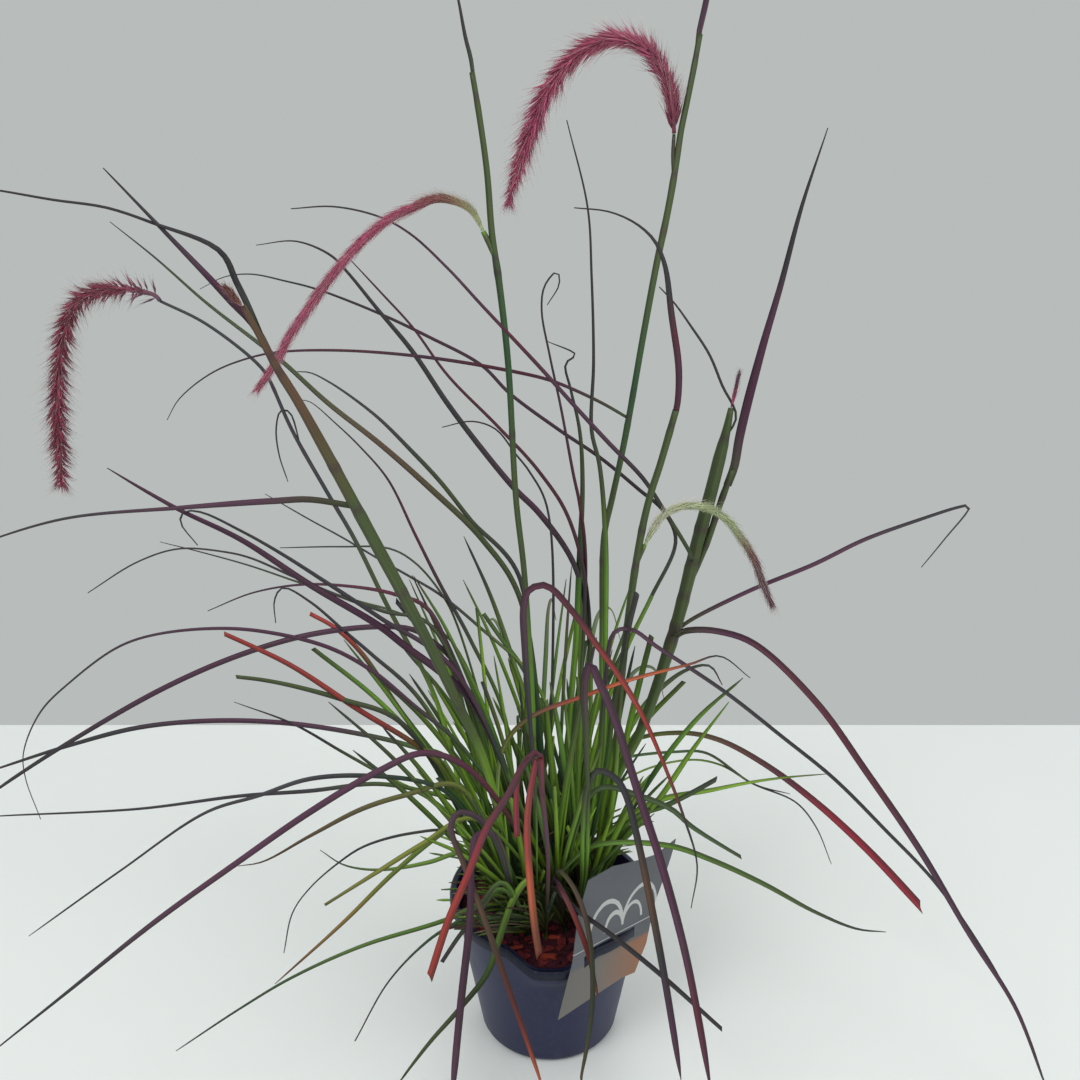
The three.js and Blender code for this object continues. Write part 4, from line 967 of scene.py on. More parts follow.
PLUMES = (
    Plume("plume_far_left", stem="flower_stem_far_left", core=0.003, spikelet=0.018,
          lean=0.92, density=2100, inner="VCCCCCC", outer="VDDDDDD", hair=0.023, hairs=2400,
          sparse=0.13, start=1.35, end=0.75,
          course="160,301 156,296 130,289 100,291 78,301 68,320 62,343 59,373 58,406 59,439 61,472 61,487"),
    Plume("plume_centre", stem="flower_stem_centre", core=0.003, spikelet=0.0145,
          lean=0.15, density=4000, inner="GBPPPPPPP", outer="GBPPPPPPC", hair=0.02, hairs=2000,
          sparse=0, start=0.85, end=0.7,
          course="483,231 476,217 464,206 442,199 419,205 394,216 372,232 354,249 336,270 320,291 306,311 "
                 "292,332 279,356 267,375 258,388"),
    Plume("plume_top", stem="flower_stem_top", core=0.003, spikelet=0.0185,
          lean=0.6, density=2300, inner="DPPPPPP", outer="CDPCPCD", hair=0.025, hairs=1900,
          sparse=0, start=1.1, end=0.55,
          course="674,134 673,109 669,86 660,67 648,50 632,41 615,38 599,43 582,51 566,65 556,79 545,96 "
                 "537,114 530,132 524,151 517,172 511,192 509,206"),
    Plume("plume_pale", stem="flower_stem_pale", core=0.0024, spikelet=0.011,
          lean=0.22, density=2600, inner="GGGGBDD", outer="WWGGDVD", hair=0.015, hairs=3600,
          sparse=0, start=1, end=0.8,
          course="645,545 651,533 659,520 669,512 680,507 702,507 722,516 739,535 753,557 762,581 772,605"),
    Plume("plume_emerging_left", stem="flower_stem_left", core=0.0012, spikelet=0.011,
          lean=0.2, density=2600, inner="BB", outer="BD", hair=0.012, hairs=900,
          sparse=0, start=1, end=0.5,
          course="242,306 235,298,-170 226,288,-178"),
    Plume("plume_emerging_right", stem="flower_stem_right", core=0.001, spikelet=0.01,
          lean=0.12, density=1500, inner="PDV", outer="CVV", hair=0.012, hairs=500,
          sparse=0, start=1, end=0.5,
          course="731,408 735,392 739,373"),
)


def add_cone(shape, segments, near, far, tall, foot=(0, 0, 0), capped=False):
    """The points of a cone that stands on its foot."""
    verts = bmesh.ops.create_cone(shape, cap_ends=capped, segments=segments, radius1=near, radius2=far,
                                  depth=tall)["verts"]
    bmesh.ops.translate(shape, verts=verts, vec=Vector(foot) + Vector((0, 0, tall / 2)))
    return verts


def tuft_mesh():
    """A spikelet with three bristles at its foot, one metre long: it is made small where it is placed."""
    shape = bmesh.new()
    add_cone(shape, 4, 0.015, 0.056, 0.22)
    add_cone(shape, 4, 0.056, 0.004, 0.48, (0, 0, 0.22))
    for turn, lean, tall in ((0.3, 0.14, 1.0), (2.5, 0.22, 0.8), (4.4, 0.18, 0.9)):
        verts = add_cone(shape, 3, 0.011, 0.003, tall)
        bmesh.ops.rotate(shape, verts=verts, cent=(0, 0, 0), matrix=Euler((lean, 0, turn)).to_matrix())
    bmesh.ops.remove_doubles(shape, verts=shape.verts[:], dist=0.004)
    bmesh.ops.holes_fill(shape, edges=shape.edges[:], sides=4)
    bmesh.ops.recalc_face_normals(shape, faces=shape.faces[:])
    return finished(shape, "tuft")


def hair_mesh():
    """A bristle, one metre long."""
    shape = bmesh.new()
    add_cone(shape, 3, 0.0042, 0.0016, 1, capped=True)
    return finished(shape, "hair")


def combed(template, plume, rows, looks, shares, lean, length, tones, chance):
    """Copies of a template that stand out of the course and lean towards its tip."""
    count = len(shares)
    mesh = in_a_row(template, count)
    local = points_of(mesh)
    copy = np.repeat(np.arange(count), len(local) // count)
    steps = np.arange(len(rows[0]))
    base, *axes = (interpolated(shares * steps[-1], steps, row) for row in rows)
    axis, side, facing = (unit(values) for values in axes)
    turn = np.arange(count) * GOLDEN_TURN + chance.normal(0, TURN_UNEVEN, count)
    outward = side * np.cos(turn)[:, None] + facing * np.sin(turn)[:, None]
    opened = 1 if plume.sparse else 0.55 + 0.45 * smooth(0, 0.16, shares)
    angle = np.clip(chance.normal(lean, lean * ANGLE_UNEVEN, count) * opened, *ANGLES)
    heading = outward * np.sin(angle)[:, None] + axis * np.cos(angle)[:, None]
    cross = unit(np.cross(axis, outward))
    over = np.cross(heading, cross)
    full = plume.fullness(shares)
    size = length * full * chance.uniform(0.75, 1.2, count)
    reach = local[:, 2:3]
    places = base[copy] + outward[copy] * plume.core * 0.5 * full[copy, None]
    places = places + size[copy, None] * (
        heading[copy] * reach + cross[copy] * local[:, :1] + over[copy] * local[:, 1:2]
        + (axis[copy] * FORWARD_BEND - np.array((0, 0, DROOP))) * reach ** 2)
    inner, outer = (tones_along(looks, letters, shares)[copy] for letters in tones)
    blend = np.clip(reach, 0, 1) ** 2
    uneven = 0.14 + 0.36 * min(lean, 1)
    shades = chance.uniform(1 - uneven, 1 + 0.7 * uneven, count)
    colours = (inner + (outer - inner) * blend) * shades[copy, None]
    along = shares[copy] * distances(rows[0])[-1]
    set_points(mesh, places, colours, np.column_stack((reach[:, 0], along, chance.random(count)[copy])))
    return mesh


def plume_mesh(plume, looks):
    """A plume's slim core with its spikelets and its long, pale hairs."""
    layer = next(stem.layer for stem in STEMS if stem.name == plume.stem)
    points = traced(plume.course)
    course = smooth_course(np.array([place_in_layer(layer, point) for point in points]), PLUME_STEP)
    course[0] += unit(course[1] - course[0]) * FIT
    total = distances(course)[-1]
    chance = np.random.default_rng(len(points) + int(plume.core * 1e4))
    shape, layers = new_shape()
    core = closed_ends(course)
    share = distances(core) / total
    radius = np.maximum(plume.core * CORE_SHARE * plume.fullness(share), THINNEST_CORE)
    angle, grid = tube(layer, core, radius, CORE_COLUMNS)
    tones = tones_along(looks, plume.inner, share)
    verts = add_sheet(shape, layers, grid, tones, (0.0, share[:, None] * total, angle))
    bmesh.ops.remove_doubles(shape, verts=verts, dist=MERGED)
    bmesh.ops.recalc_face_normals(shape, faces=shape.faces[:])
    even = np.linspace(0.015, 0.99, int(total * plume.density))
    kept = chance.random(len(even)) < np.where(even < plume.sparse, LONE_SPIKELETS, 1)
    shares = np.clip(even[kept] + chance.normal(0, 0.002, kept.sum()), 0, 1)
    rows = (course, *frames_along(layer, course, np.zeros(len(course))))
    tufts = combed(tuft_mesh(), plume, rows, looks, shares, plume.lean, plume.spikelet,
                   (plume.inner, plume.outer), chance)
    hair_shares = np.sort(chance.uniform(max(plume.sparse, 0.02), 1, int(total * plume.hairs)))
    hairs = combed(hair_mesh(), plume, rows, looks, hair_shares, plume.lean * HAIR_LEAN, plume.hair,
                   (plume.outer, "WWW"), chance)
    for more in (tufts, hairs):
        shape.from_mesh(more)
        bpy.data.meshes.remove(more)
    return finished(shape, plume.name + "_bristles")


# Pot, soil and tag

def wall_radius(height):
    share = (height - BASE_ROUNDING) / (POT_HEIGHT - LIP_DEPTH - BASE_ROUNDING)
    return POT_BASE_RADIUS + (POT_NECK_RADIUS - POT_BASE_RADIUS) * share


def pot_profile():
    """The pot's wall as radius and height, from the middle of its underside over the lip and down inside."""
    flat = POT_BASE_RADIUS - BASE_ROUNDING
    corner = [(flat + BASE_ROUNDING * math.sin(turn), BASE_ROUNDING * (1 - math.cos(turn)))
              for turn in np.linspace(0, math.pi / 2, 6)]
    neck = POT_HEIGHT - LIP_DEPTH
    outside = [(wall_radius(height), height) for height in np.linspace(WALL_FOOT, neck, 24)]
    lip = [(LIP_RADIUS + out, POT_HEIGHT + up) for out, up in LIP_OUTLINE]
    inside = [(wall_radius(height) - WALL, height) for height in np.linspace(neck, WALL_FOOT, 20)]
    floor = [(POT_BASE_RADIUS - FLOOR_THICKNESS, BASE_ROUNDING), (flat, FLOOR_THICKNESS),
             (0, FLOOR_THICKNESS)]
    return [(0, 0), (UNDERSIDE_RING, 0), *corner, *outside, *lip, *inside, *floor]


def add_spun(shape, profile, steps):
    """The shape that a profile sweeps round the upright axis, closed at its poles."""
    verts = [shape.verts.new((radius, 0, height)) for radius, height in profile]
    edges = [shape.edges.new(pair) for pair in zip(verts, verts[1:])]
    bmesh.ops.spin(shape, geom=verts + edges, cent=(0, 0, 0), axis=(0, 0, 1), angle=2 * math.pi,
                   steps=steps, use_merge=True, use_duplicate=False)
    bmesh.ops.remove_doubles(shape, verts=shape.verts[:], dist=MERGED)
    bmesh.ops.recalc_face_normals(shape, faces=shape.faces[:])


def pot_mesh():
    """The pot, with its lip dipped at the front and holes drilled through its floor."""
    shape = bmesh.new()
    add_spun(shape, pot_profile(), POT_STEPS)
    for vert in shape.verts:
        turn = abs(math.atan2(vert.co.x, -vert.co.y))
        sunk = 1 - smooth(DIP_EDGE * DIP_HALF_WIDTH, DIP_HALF_WIDTH, turn)
        low, high = POT_HEIGHT - DIP_REACH_DOWN, POT_HEIGHT - DIP_FULL_DEPTH
        vert.co.z -= DIP_DEPTH * sunk * smooth(low, high, vert.co.z)
    drills = bmesh.new()
    for turn in np.arange(DRAIN_HOLES) / DRAIN_HOLES * 2 * math.pi:
        foot = (DRAIN_CIRCLE * math.cos(turn), DRAIN_CIRCLE * math.sin(turn), -DRILL_LENGTH / 2)
        add_cone(drills, 28, DRAIN_RADIUS, DRAIN_RADIUS, DRILL_LENGTH, foot, capped=True)
    whole = in_scene("whole", finished(shape, "pot_shell"))
    drill = in_scene("drill", finished(drills, "drills"))
    cut = whole.modifiers.new("cut", "BOOLEAN")
    cut.operation = "DIFFERENCE"
    cut.object = drill
    mesh = evaluated(whole, drill)
    mesh.name = "pot_moulded"
    mesh.shade_smooth()
    mesh.set_sharp_from_angle(angle=math.radians(40))
    return mesh


def add_chip(shape, layers, turn, radius, rise, tilt, size, colour, chance):
    """A bark chip on the soil: a bevelled block, whose points are pushed out of true in a fixed order."""
    made = bmesh.ops.create_cube(shape, size=1)["verts"]
    edges = list(dict.fromkeys(edge for vert in made for edge in vert.link_edges))
    bevelled = bmesh.ops.bevel(shape, geom=edges, offset=CHIP_BEVEL, offset_type="OFFSET", affect="EDGES",
                               segments=1, profile=0.5, material=-1)["verts"]
    verts = {*bevelled, *(vert for vert in made if vert.is_valid)}
    place = Vector((math.cos(turn) * radius, math.sin(turn) * radius, soil_height(radius) + rise))
    matrix = Matrix.LocRotScale(place, tilt, Vector(size))
    tone, form = layers
    for vert in sorted(verts, key=lambda vert: [round(value, 3) for value in vert.co]):
        vert.co = matrix @ (vert.co + Vector(chance.normal(0, CHIP_ROUGHNESS, 3)))
        vert[tone] = (*colour, 1)
        vert[form] = (vert.co.x, vert.co.y, 1)


def soil_mesh(looks):
    """Bark compost, heaped towards the clump, with its chips."""
    shape, layers = new_shape()
    heights = np.linspace(WALL_FOOT, SOIL_RIM_HEIGHT, 6)
    walls = [(wall_radius(height) - WALL - SOIL_GAP, height) for height in heights]
    rim = walls[-1][0]
    surface = [(rim * share, soil_height(rim * share)) for share in np.linspace(1, 0, 36)]
    low = FLOOR_THICKNESS + FIT
    add_spun(shape, [(0, low), (POT_BASE_RADIUS - BASE_ROUNDING - WALL, low), *walls, *surface], SOIL_STEPS)
    tone, form = layers
    for vert in shape.verts:
        if vert.co.z > SOIL_RIM_HEIGHT - 0.001 and math.hypot(vert.co.x, vert.co.y) < rim - 0.002:
            vert.co.z += sum(noise.noise(vert.co * fine) * high for fine, high in LUMPS) - LUMPS_SINK
        vert[tone] = (*looks.earth, 1)
        vert[form] = (vert.co.x, vert.co.y, 0)
    chance = np.random.default_rng(7)
    draw = Draw(DRAW_SEED)
    for i in range(LARGE_CHIPS):
        turn = i / LARGE_CHIPS * 2 * math.pi + draw(-0.08, 0.08)
        radius = rim - draw(0.006, 0.015)
        long = LARGE_CHIP_LENGTH * draw(0.55, 1)
        tilt = Euler([draw(-most, most) for most in (0.35, 0.2, 0.5)])
        tilt.z += turn + math.pi / 2
        size = (long, long / 2, LARGE_CHIP_THICKNESS)
        # Every third large chip is paler: partly fresh bark, partly painted highlight on the bark
        colour = looks.bark if i % 3 else looks.bright_bark
        add_chip(shape, layers, turn, radius, LARGE_CHIP_RISE, tilt, size, colour, chance)
    # The paler bark among the loose chips is partly fresh bark and partly painted highlight
    colours = (looks.bark, looks.earth, looks.dark_bark, looks.bright_bark)
    for _ in range(looks.chips):
        turn = chance.uniform(0, 2 * math.pi)
        radius = (rim - 0.003) * math.sqrt(chance.uniform(0.04, 1))
        spin = chance.uniform(0, 6.3)
        tilt = Euler((chance.normal(0, CHIP_SLANT), 0, spin))
        long = chance.uniform(*(OUTER_CHIP if radius > INNER_SOIL else INNER_CHIP))
        colour = colours[min(int(chance.exponential(1.1)), 3)]
        size = (long, long * chance.uniform(0.3, 0.7), long * chance.uniform(0.15, 0.4))
        add_chip(shape, layers, turn, radius, 0, tilt, size, colour, chance)
    bmesh.ops.recalc_face_normals(shape, faces=shape.faces[:])
    return finished(shape, "soil_bark_chips", soft=False)


def tag_mesh():
    """The tag's sheet with its slit, a little bowed, in its own upright plane."""
    shape, (tone, form) = new_shape()
    edges = []
    for loop in (TAG_OUTLINE, TAG_SLIT):
        verts = [shape.verts.new((across, 0, up)) for across, up in loop]
        edges += [shape.edges.new(pair) for pair in zip(verts, verts[1:] + verts[:1])]
    bmesh.ops.triangle_fill(shape, edges=edges, use_beauty=True)
    for normal, first, last in ((Vector((1, 0, 0)), -0.05, 0.07), (Vector((0, 0, 1)), 0.095, 0.228)):
        for cut in np.arange(first, last, TAG_CELL):
            everything = shape.verts[:] + shape.edges[:] + shape.faces[:]
            bmesh.ops.bisect_plane(shape, geom=everything, plane_co=normal * float(cut), plane_no=normal)
    for vert in shape.verts:
        across, _, up = vert.co
        vert[form] = (across, up, 0)
        vert[tone] = (1, 1, 1, 1)
        free = float(smooth(*TAG_FREE, up))
        vert.co.y = -TAG_DISTANCE - free * (TAG_BOW * math.sin(across * TAG_WAVES + 0.6) + TAG_LEAN)
    bmesh.ops.recalc_face_normals(shape, faces=shape.faces[:])
    if sum(face.normal.y for face in shape.faces) > 0:
        bmesh.ops.reverse_faces(shape, faces=shape.faces[:])
    bmesh.ops.solidify(shape, geom=shape.faces[:], thickness=TAG_THICKNESS)
    bmesh.ops.recalc_face_normals(shape, faces=shape.faces[:])
    turn = Matrix.Rotation(TAG_TURN + math.pi / 2, 3, "Z")
    bmesh.ops.rotate(shape, verts=shape.verts[:], cent=(0, 0, 0), matrix=turn)
    mesh = finished(shape, "tag_sheet")
    mesh.set_sharp_from_angle(angle=math.radians(50))
    return mesh


# Finishes

class Signal:
    """A shader socket that sums, products and comparisons can be written with."""

    def __init__(self, finish, socket):
        self.finish = finish
        self.socket = socket

    def maths(self, operation, other=0.0, clamp=False):
        return self.finish.node("Math", {"operation": operation, "use_clamp": clamp}, {0: self, 1: other})

    def __rsub__(self, other):
        return self.finish.node("Math", {"operation": "SUBTRACT"}, {0: other, 1: self})

    __add__ = __radd__ = partialmethod(maths, "ADD")
    __mul__ = __rmul__ = partialmethod(maths, "MULTIPLY")
    __sub__ = partialmethod(maths, "SUBTRACT")
    __gt__ = partialmethod(maths, "GREATER_THAN")
    __lt__ = partialmethod(maths, "LESS_THAN")
    __pow__ = partialmethod(maths, "POWER")
    __abs__ = partialmethod(maths, "ABSOLUTE")
    clamped = partialmethod(maths, "ADD", clamp=True)


class Finish:
    """A material with one shader: what varies over the surface comes from nodes."""

    def __init__(self, name, constants):
        self.material = bpy.data.materials.new(name)
        self.material.use_nodes = True
        self.tree = self.material.node_tree
        self.shader = self.tree.nodes["Principled BSDF"]
        for socket, value in constants.items():
            self.shader.inputs[socket].default_value = value

    def node(self, kind, settings, inputs, output=0):
        made = self.tree.nodes.new("ShaderNode" + kind)
        for name, value in settings.items():
            setattr(made, name, value)
        for key, value in inputs.items():
            self.feed(made.inputs[key], value)
        return Signal(self, made.outputs[output])

    def feed(self, socket, value):
        if isinstance(value, Signal):
            self.tree.links.new(value.socket, socket)
        elif socket.type == "RGBA":
            socket.default_value = (*value, 1)
        else:
            socket.default_value = value

    def vary(self, socket, value):
        self.feed(self.shader.inputs[socket], value)

    def attribute(self, name, output):
        return self.node("Attribute", {"attribute_name": name}, {}, output)

    def tone(self):
        return self.attribute("tone", "Color")

    def form(self):
        return self.parts(self.attribute("form", "Vector"))

    def place(self):
        return self.node("TexCoord", {}, {}, "Object")

    def parts(self, vector):
        return [self.node("SeparateXYZ", {}, {0: vector}, output) for output in range(3)]

    def joined(self, *parts):
        return self.node("CombineXYZ", {}, dict(enumerate(parts)))

    def mix(self, factor, first, second, kind="MIX"):
        return self.node("Mix", {"data_type": "RGBA", "blend_type": kind, "clamp_factor": True},
                         {0: factor, 6: first, 7: second}, 2)

    def lit(self, colour, level):
        """A colour times a level."""
        return self.mix(1.0, colour, self.joined(level, level, level), "MULTIPLY")

    def grain(self, vector, scale=1.0, detail=2.0, rough=0.5):
        inputs = {"Vector": vector, "Scale": scale, "Detail": detail, "Roughness": rough}
        return self.node("TexNoise", {}, inputs)

    def between(self, low, high, value):
        """0 below low, 1 above high, even in between."""
        return self.node("MapRange", {"clamp": True}, {"Value": value, "From Min": low, "From Max": high})

    def bump(self, height, distance, strength):
        inputs = {"Height": height, "Distance": distance, "Strength": strength}
        self.vary("Normal", self.node("Bump", {}, inputs))


def blade_finish(looks):
    """A ribbed skin with a pale middle, dark edges, brown flecks and painted shade on one half of each blade
    and one side of each stalk. Its form is across, along and a mark.
    """
    finish = Finish("blade_skin", {"Specular IOR Level": 0.4})
    across, along, mark = finish.form()
    stripes = finish.grain(finish.joined(across * 6, along * 7, mark * 90), detail=3.0, rough=0.65)
    drift = finish.grain(finish.joined(across * 0.5, along * 24, mark * 70))
    # Painted shade: one half of a blade, and one side of a stalk, made darker as if turned from the light
    shaded_half = finish.between(-0.2, 0.2, across)
    middle = 1 - finish.between(0.02, 0.12, abs(across))
    edge = finish.between(0.72, 0.97, abs(across))
    level = 0.52 + stripes * 0.7 + drift * 0.5 - shaded_half * 0.46 - edge * 0.46 + middle * 0.3
    fleck = finish.between(0.62, 0.72, finish.grain(finish.joined(across * 1.2, along * 60, mark * 50)))
    colour = finish.mix(fleck * 0.3, finish.lit(finish.tone(), level), looks.brown)
    finish.vary("Base Color", finish.mix(edge * 0.16, colour, looks.maroon))
    finish.vary("Roughness", 0.36 + drift * 0.3)
    finish.bump(stripes * 0.6 + middle * 0.5, 0.0003, 0.6)
    return finish.material


def plume_finish():
    """Soft bristles. Their form is how far out they reach, how far along the plume they stand and a mark."""
    finish = Finish("plume_bristle", {"Specular IOR Level": 0.3, "Sheen Weight": 0.25})
    reach, along, mark = finish.form()
    drift = finish.grain(finish.joined(reach * 3, along * 60, mark * 30))
    finish.vary("Base Color", finish.lit(finish.tone(), 0.62 + drift * 0.7 + reach * 0.12))
    finish.vary("Roughness", 0.55 + drift * 0.2)
    return finish.material


def pot_finish(looks):
    """Moulded plastic with a darker lip, dry water marks and specks of dust."""
    finish = Finish("pot_moulded_plastic", {"Specular IOR Level": 0.34})
    place = finish.place()
    x, y, z = finish.parts(place)
    cloud = finish.grain(place, 14.0, 4.0, 0.6)
    streak = finish.grain(finish.joined(x * 60, y * 60, z * 9), detail=3.0, rough=0.65)
    speck = finish.grain(place, 420.0)
    up = finish.between(0.0, 0.125, z + cloud * 0.05 - 0.025)
    colour = finish.mix(up, looks.low, looks.high)
    lip = finish.between(0.0902 ** 2, 0.0912 ** 2, x * x + y * y)
    colour = finish.mix(lip * 0.92, colour, looks.lip)
    dust = finish.between(0.56, 0.78, streak) * 0.3 + finish.between(0.62, 0.7, speck) * 0.25
    finish.vary("Base Color", finish.mix(dust, colour, looks.dust))
    finish.vary("Roughness", 0.34 + cloud * 0.16 + dust * 0.5)
    finish.bump(speck * 0.3 + streak, 0.0003, 0.35)
    return finish.material


def soil_finish():
    """Rough, fibrous bark."""
    finish = Finish("soil_bark", {"Specular IOR Level": 0.2})
    place = finish.place()
    grain = finish.grain(place, 320.0, 6.0, 0.7)
    fibre = finish.grain(finish.node("Mapping", {}, {"Vector": place, "Scale": (1, 1, 4)}), 900.0, 3.0, 0.6)
    finish.vary("Base Color", finish.lit(finish.tone(), 0.28 + grain * 1.0 + fibre * 0.5))
    finish.vary("Roughness", 0.75 + grain * 0.2)
    finish.bump(grain * 1.2 + fibre * 0.5, 0.0012, 0.7)
    return finish.material


def tag_finish(looks):
    """A plain print: an emblem and a line on a grey field over a warm one. Its form is across and up."""
    finish = Finish("tag_print", {"Specular IOR Level": 0.5, "Coat Weight": 0.15})
    across, up, _ = finish.form()
    cloud = finish.grain(finish.joined(across * 30, up * 55, 0.3), detail=4.0, rough=0.6)
    shaded = (finish.between(-0.05, 0.06, across) + cloud) * 0.5
    field = finish.mix(shaded, looks.slate, looks.deep_slate)
    corner = finish.between(-0.005, 0.045, across + cloud * 0.02)
    low = 1 - finish.between(0.134, 0.139, up + cloud * 0.004)
    colour = finish.mix(low, field, finish.mix(corner, looks.dull, looks.warm))
    foot, ground = TAG_EMBLEM_FOOT
    arcs = 0.0
    for reach in TAG_EMBLEM:
        aside = across - (foot + reach)
        above = (up - ground) * (1 / TAG_EMBLEM_STRETCH)
        ring = abs((aside * aside + above * above) ** 0.5 - abs(reach))
        arcs = (ring < 0.0003 + cloud * 0.002) + arcs
    colour = finish.mix(arcs.clamped() * (up > ground) * 0.8, colour, looks.pale)
    line = finish.between(0.1508, 0.151, up) * (1 - finish.between(0.1516, 0.1518, up))
    finish.vary("Base Color", finish.mix(line * 0.8, colour, looks.pale))
    finish.vary("Roughness", 0.3 + cloud * 0.18)
    finish.bump(cloud, 0.0003, 0.2)
    return finish.material


def floor_finish(looks):
    """Plain paper."""
    finish = Finish("floor_paper", {"Specular IOR Level": 0.2})
    cloud = finish.grain(finish.place(), 2.0)
    finish.vary("Base Color", finish.lit(looks.floor, 0.98 + cloud * 0.04))
    finish.vary("Roughness", 0.8 + cloud * 0.1)
    return finish.material


# Sizes and colours that a user would change

def length(name, default, text):
    return bpy.props.FloatProperty(name=name, default=default, min=0, unit="LENGTH", precision=5,
                                   description=text)


def colour(name, text, *screen):
    return bpy.props.FloatVectorProperty(name=name, default=shade(*screen), size=3, min=0, max=1,
                                         subtype="COLOR", description=text)


def count(name, default, text):
    return bpy.props.IntProperty(name=name, default=default, min=0, description=text)


class BladeLooks(bpy.types.PropertyGroup):
    """Sizes and tones of the blades and stalks."""

    row_length: length("Row Length", 0.006, "Length of one row of faces along a blade")
    foot_width: length("Foot Width", 0.0042, "Width of a blade where it leaves the crown")
    tip_width: length("Tip Width", 0.0006, "Width of a blade at its tip")
    thickness: length("Thickness", 0.0005, "Thickness of a blade")
    channel: bpy.props.FloatProperty(name="Channel", default=1.0, min=0, max=2,
                                     description="How deeply a blade is folded along its middle")
    green_reach: length("Green Reach", 0.26, "How far from the crown a blade stays green")
    shoots: count("Young Shoots", 4, "Young shoots at each foot")
    threads: count("Fine Threads", 15, "Fine threads at each foot")
    fresh_green: colour("Fresh Green", "Blades near the crown", 98, 144, 38)
    yellow_green: colour("Yellow Green", "Young blades in the light", 134, 176, 44)
    deep_green: colour("Deep Green", "Feet of the blades", 34, 74, 38)
    olive: colour("Olive", "Blades between green and purple", 64, 78, 40)
    charcoal: colour("Charcoal", "Outer blades", 50, 49, 54)
    purple: colour("Purple", "Arching blades", 76, 40, 64)
    maroon: colour("Maroon", "Broad blades and edges", 88, 30, 48)
    crimson: colour("Crimson", "Blades that the light shines through", 142, 24, 46)
    red: colour("Red", "Turning blades", 156, 52, 44)
    orange: colour("Orange", "Dry tips", 196, 96, 54)
    brown: colour("Brown", "Sheaths, old blades and flecks", 88, 64, 44)
    straw: colour("Straw", "Dry threads", 150, 140, 100)


class PlumeLooks(bpy.types.PropertyGroup):
    """Tones of the plumes."""

    plume_cream: colour("Cream", "Long hairs", 222, 212, 200)
    plume_green: colour("Pale Green", "Young spikelets", 168, 182, 132)
    plume_pink: colour("Pink", "Spikelets in the light", 182, 82, 116)
    plume_crimson: colour("Crimson", "Heart of a plume", 156, 58, 84)
    plume_maroon: colour("Maroon", "Dark bristles", 102, 42, 60)
    plume_brown: colour("Brown", "Ageing spikelets", 136, 88, 74)
    plume_grey: colour("Purple Grey", "Lone spikelets", 94, 70, 86)


class PotLooks(bpy.types.PropertyGroup):
    """Tones of the pot."""

    high: colour("Upper Wall", "Pot's wall near the lip", 28, 34, 70)
    low: colour("Lower Wall", "Pot's wall near the floor", 28, 32, 66)
    lip: colour("Lip", "Pot's lip", 16, 20, 38)
    dust: colour("Dust", "Dried water and soil dust", 84, 88, 98)


class SoilLooks(bpy.types.PropertyGroup):
    """Tones and chips of the bark compost."""

    chips: count("Chips", 460, "Loose bark chips besides the large ones")
    earth: colour("Earth", "Compost between the chips", 66, 26, 36)
    bark: colour("Bark", "Most chips", 110, 40, 42)
    dark_bark: colour("Dark Bark", "Wet chips", 56, 28, 32)
    # Paler chips: partly fresh bark, partly painted highlight on the bark
    bright_bark: colour("Bright Bark", "Fresh chips", 150, 60, 44)


class TagLooks(bpy.types.PropertyGroup):
    """Tones of the tag's print."""

    slate: colour("Slate", "Upper field", 94, 97, 104)
    deep_slate: colour("Deep Slate", "Darker parts of the upper field", 62, 64, 72)
    pale: colour("Pale", "Emblem and line", 206, 208, 206)
    warm: colour("Warm", "Lower field", 142, 92, 60)
    dull: colour("Dull", "Greyer parts of the lower field", 104, 100, 95)


class StageLooks(bpy.types.PropertyGroup):
    """The floor and the light."""

    floor: colour("Floor", "Plain pale floor", 238, 241, 239)
    wall: colour("Backdrop", "Light that comes from all round", 184, 188, 187)
    light: bpy.props.FloatProperty(name="Light", default=41.0, min=0, unit="POWER",
                                   description="Power of the large soft light")


# One operator for each piece or group of like pieces

class MakePot(bpy.types.Operator):
    """Mould the nursery pot with its dipped lip and drain holes"""

    bl_idname = "grass.make_pot"
    bl_label = "Make Pot"

    def execute(self, context):
        placed(pot_mesh(), pot_finish(context.scene.grass_pot), "pot_plastic", "pot")
        return {"FINISHED"}


class MakeSoil(bpy.types.Operator):
    """Fill the pot with bark compost"""

    bl_idname = "grass.make_soil"
    bl_label = "Make Soil"

    def execute(self, context):
        placed(soil_mesh(context.scene.grass_soil), soil_finish(), "soil_bark", "soil")
        return {"FINISHED"}


class MakeTag(bpy.types.Operator):
    """Thread the plant tag on the lip"""

    bl_idname = "grass.make_tag"
    bl_label = "Make Tag"

    def execute(self, context):
        placed(tag_mesh(), tag_finish(context.scene.grass_tag), "tag_plastic", "tag")
        return {"FINISHED"}


class MakeBlades(bpy.types.Operator):
    """Grow the leafy stems and flower stalks"""

    bl_idname = "grass.make_blades"
    bl_label = "Make Blades"

    def execute(self, context):
        looks = context.scene.grass_blades
        material = blade_finish(looks)
        draw = Draw(DRAW_SEED)
        for _ in range(LARGE_CHIPS * DRAWS_PER_CHIP):
            draw(0, 1)
        for stem in STEMS:
            green = stem.name.startswith("flower") or stem.name == "leafy_stem_hanging_green"
            slot = "blade_green" if green else "blade_purple"
            placed(stem_mesh(stem, looks, solid_shoots(stem, draw)), material, slot, stem.name)
        return {"FINISHED"}


class MakePlumes(bpy.types.Operator):
    """Bristle the plumes"""

    bl_idname = "grass.make_plumes"
    bl_label = "Make Plumes"

    def execute(self, context):
        material = plume_finish()
        for plume in PLUMES:
            slot = "plume_pale" if plume.name == "plume_pale" else "plume_pink"
            placed(plume_mesh(plume, context.scene.grass_plumes), material, slot, plume.name)
        return {"FINISHED"}


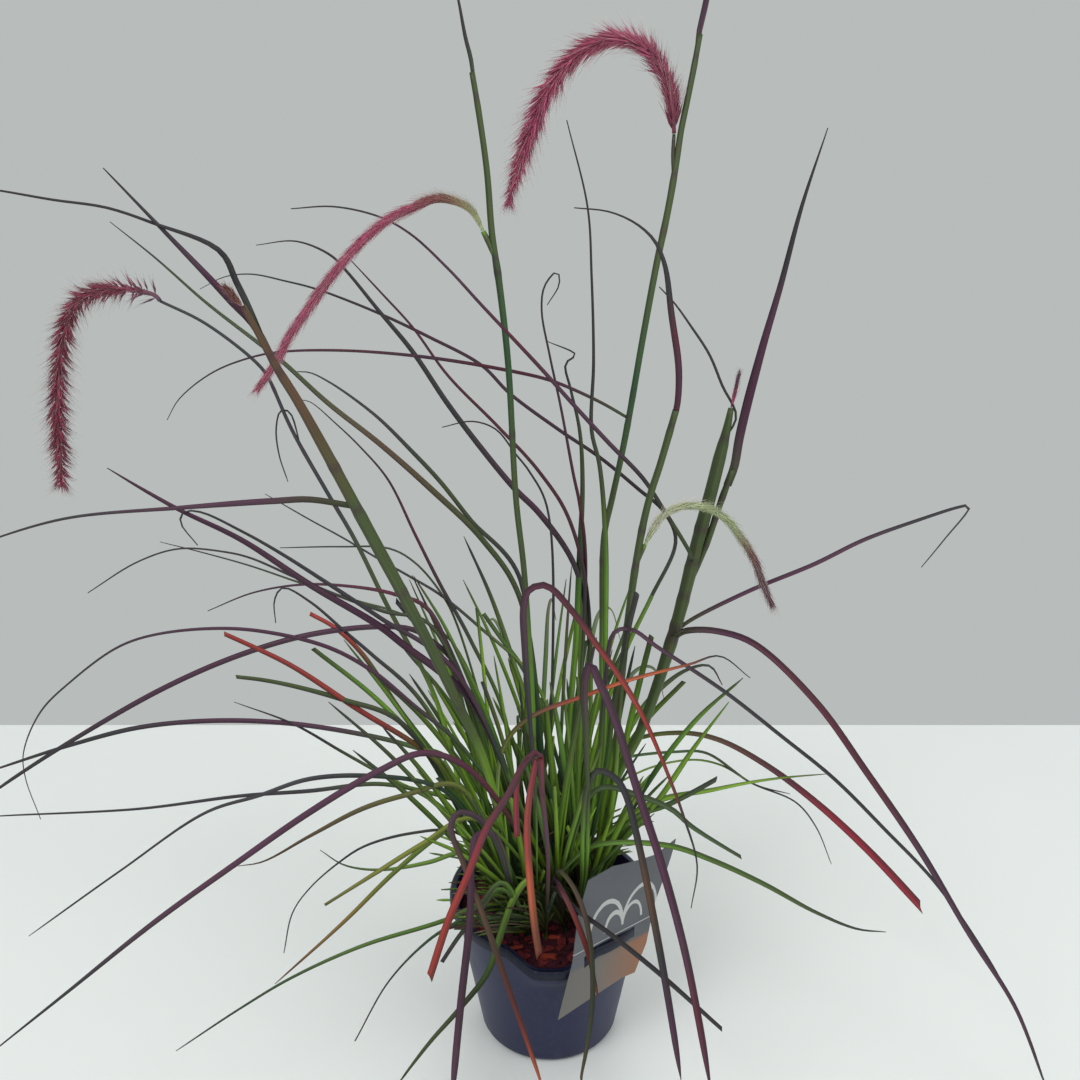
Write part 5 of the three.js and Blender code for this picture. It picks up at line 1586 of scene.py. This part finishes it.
class MakeStage(bpy.types.Operator):
    """Lay the floor and set the light and the camera"""

    bl_idname = "grass.make_stage"
    bl_label = "Make Stage"

    def execute(self, context):
        looks = context.scene.grass_stage
        shape = bmesh.new()
        verts = bmesh.ops.create_grid(shape, x_segments=1, y_segments=1, size=1)["verts"]
        bmesh.ops.scale(shape, verts=verts, vec=(FLOOR_HALF_WIDTH, FLOOR_HALF_DEPTH, 1))
        bmesh.ops.translate(shape, verts=verts, vec=(0, FLOOR_BACK - FLOOR_HALF_DEPTH, FLOOR_LEVEL))
        floor = in_scene("floor", finished(shape, "floor"))
        floor.data.materials.append(floor_finish(looks))
        for name, place, size, share in LAMPS:
            lamp = bpy.data.lights.new(name, "AREA")
            lamp.size = size
            lamp.energy = looks.light * share
            lit = in_scene(name, lamp)
            lit.location = place
            lit.rotation_euler = (LIGHT_TARGET - Vector(place)).to_track_quat("-Z", "Y").to_euler()
        world = bpy.data.worlds.new("studio")
        world.use_nodes = True
        world.node_tree.nodes["Background"].inputs["Color"].default_value = (*looks.wall, 1)
        context.scene.world = world
        context.scene.view_settings.view_transform = "Standard"
        lens = bpy.data.cameras.new("eye")
        lens.sensor_width = SENSOR
        lens.lens = SENSOR * FOCAL / PICTURE
        camera = in_scene("eye", lens)
        camera.location = EYE
        camera.rotation_euler = (math.pi / 2 - LOOK_DOWN, 0, 0)
        context.scene.camera = camera
        return {"FINISHED"}


class GrassPanel(bpy.types.Panel):
    """Sizes, colours and steps of the potted grass"""

    bl_idname = "VIEW3D_PT_potted_grass"
    bl_label = "Potted Purple Fountain Grass"
    bl_space_type = "VIEW_3D"
    bl_region_type = "UI"
    bl_category = "Grass"

    def draw(self, context):
        for name, group, operator in STEPS:
            box = self.layout.box()
            box.operator(operator.bl_idname)
            looks = getattr(context.scene, name)
            for field in group.__annotations__:
                box.prop(looks, field)


STEPS = (
    ("grass_pot", PotLooks, MakePot),
    ("grass_soil", SoilLooks, MakeSoil),
    ("grass_tag", TagLooks, MakeTag),
    ("grass_blades", BladeLooks, MakeBlades),
    ("grass_plumes", PlumeLooks, MakePlumes),
    ("grass_stage", StageLooks, MakeStage),
)


def register():
    for name, group, operator in STEPS:
        bpy.utils.register_class(group)
        bpy.utils.register_class(operator)
        setattr(bpy.types.Scene, name, bpy.props.PointerProperty(type=group))
    bpy.utils.register_class(GrassPanel)


def unregister():
    bpy.utils.unregister_class(GrassPanel)
    for name, group, operator in reversed(STEPS):
        delattr(bpy.types.Scene, name)
        bpy.utils.unregister_class(operator)
        bpy.utils.unregister_class(group)


def main():
    register()
    bpy.ops.grass.make_stage()
    bpy.ops.grass.make_pot()
    bpy.ops.grass.make_soil()
    bpy.ops.grass.make_tag()
    bpy.ops.grass.make_blades()
    bpy.ops.grass.make_plumes()


if __name__ == "__main__":
    main()
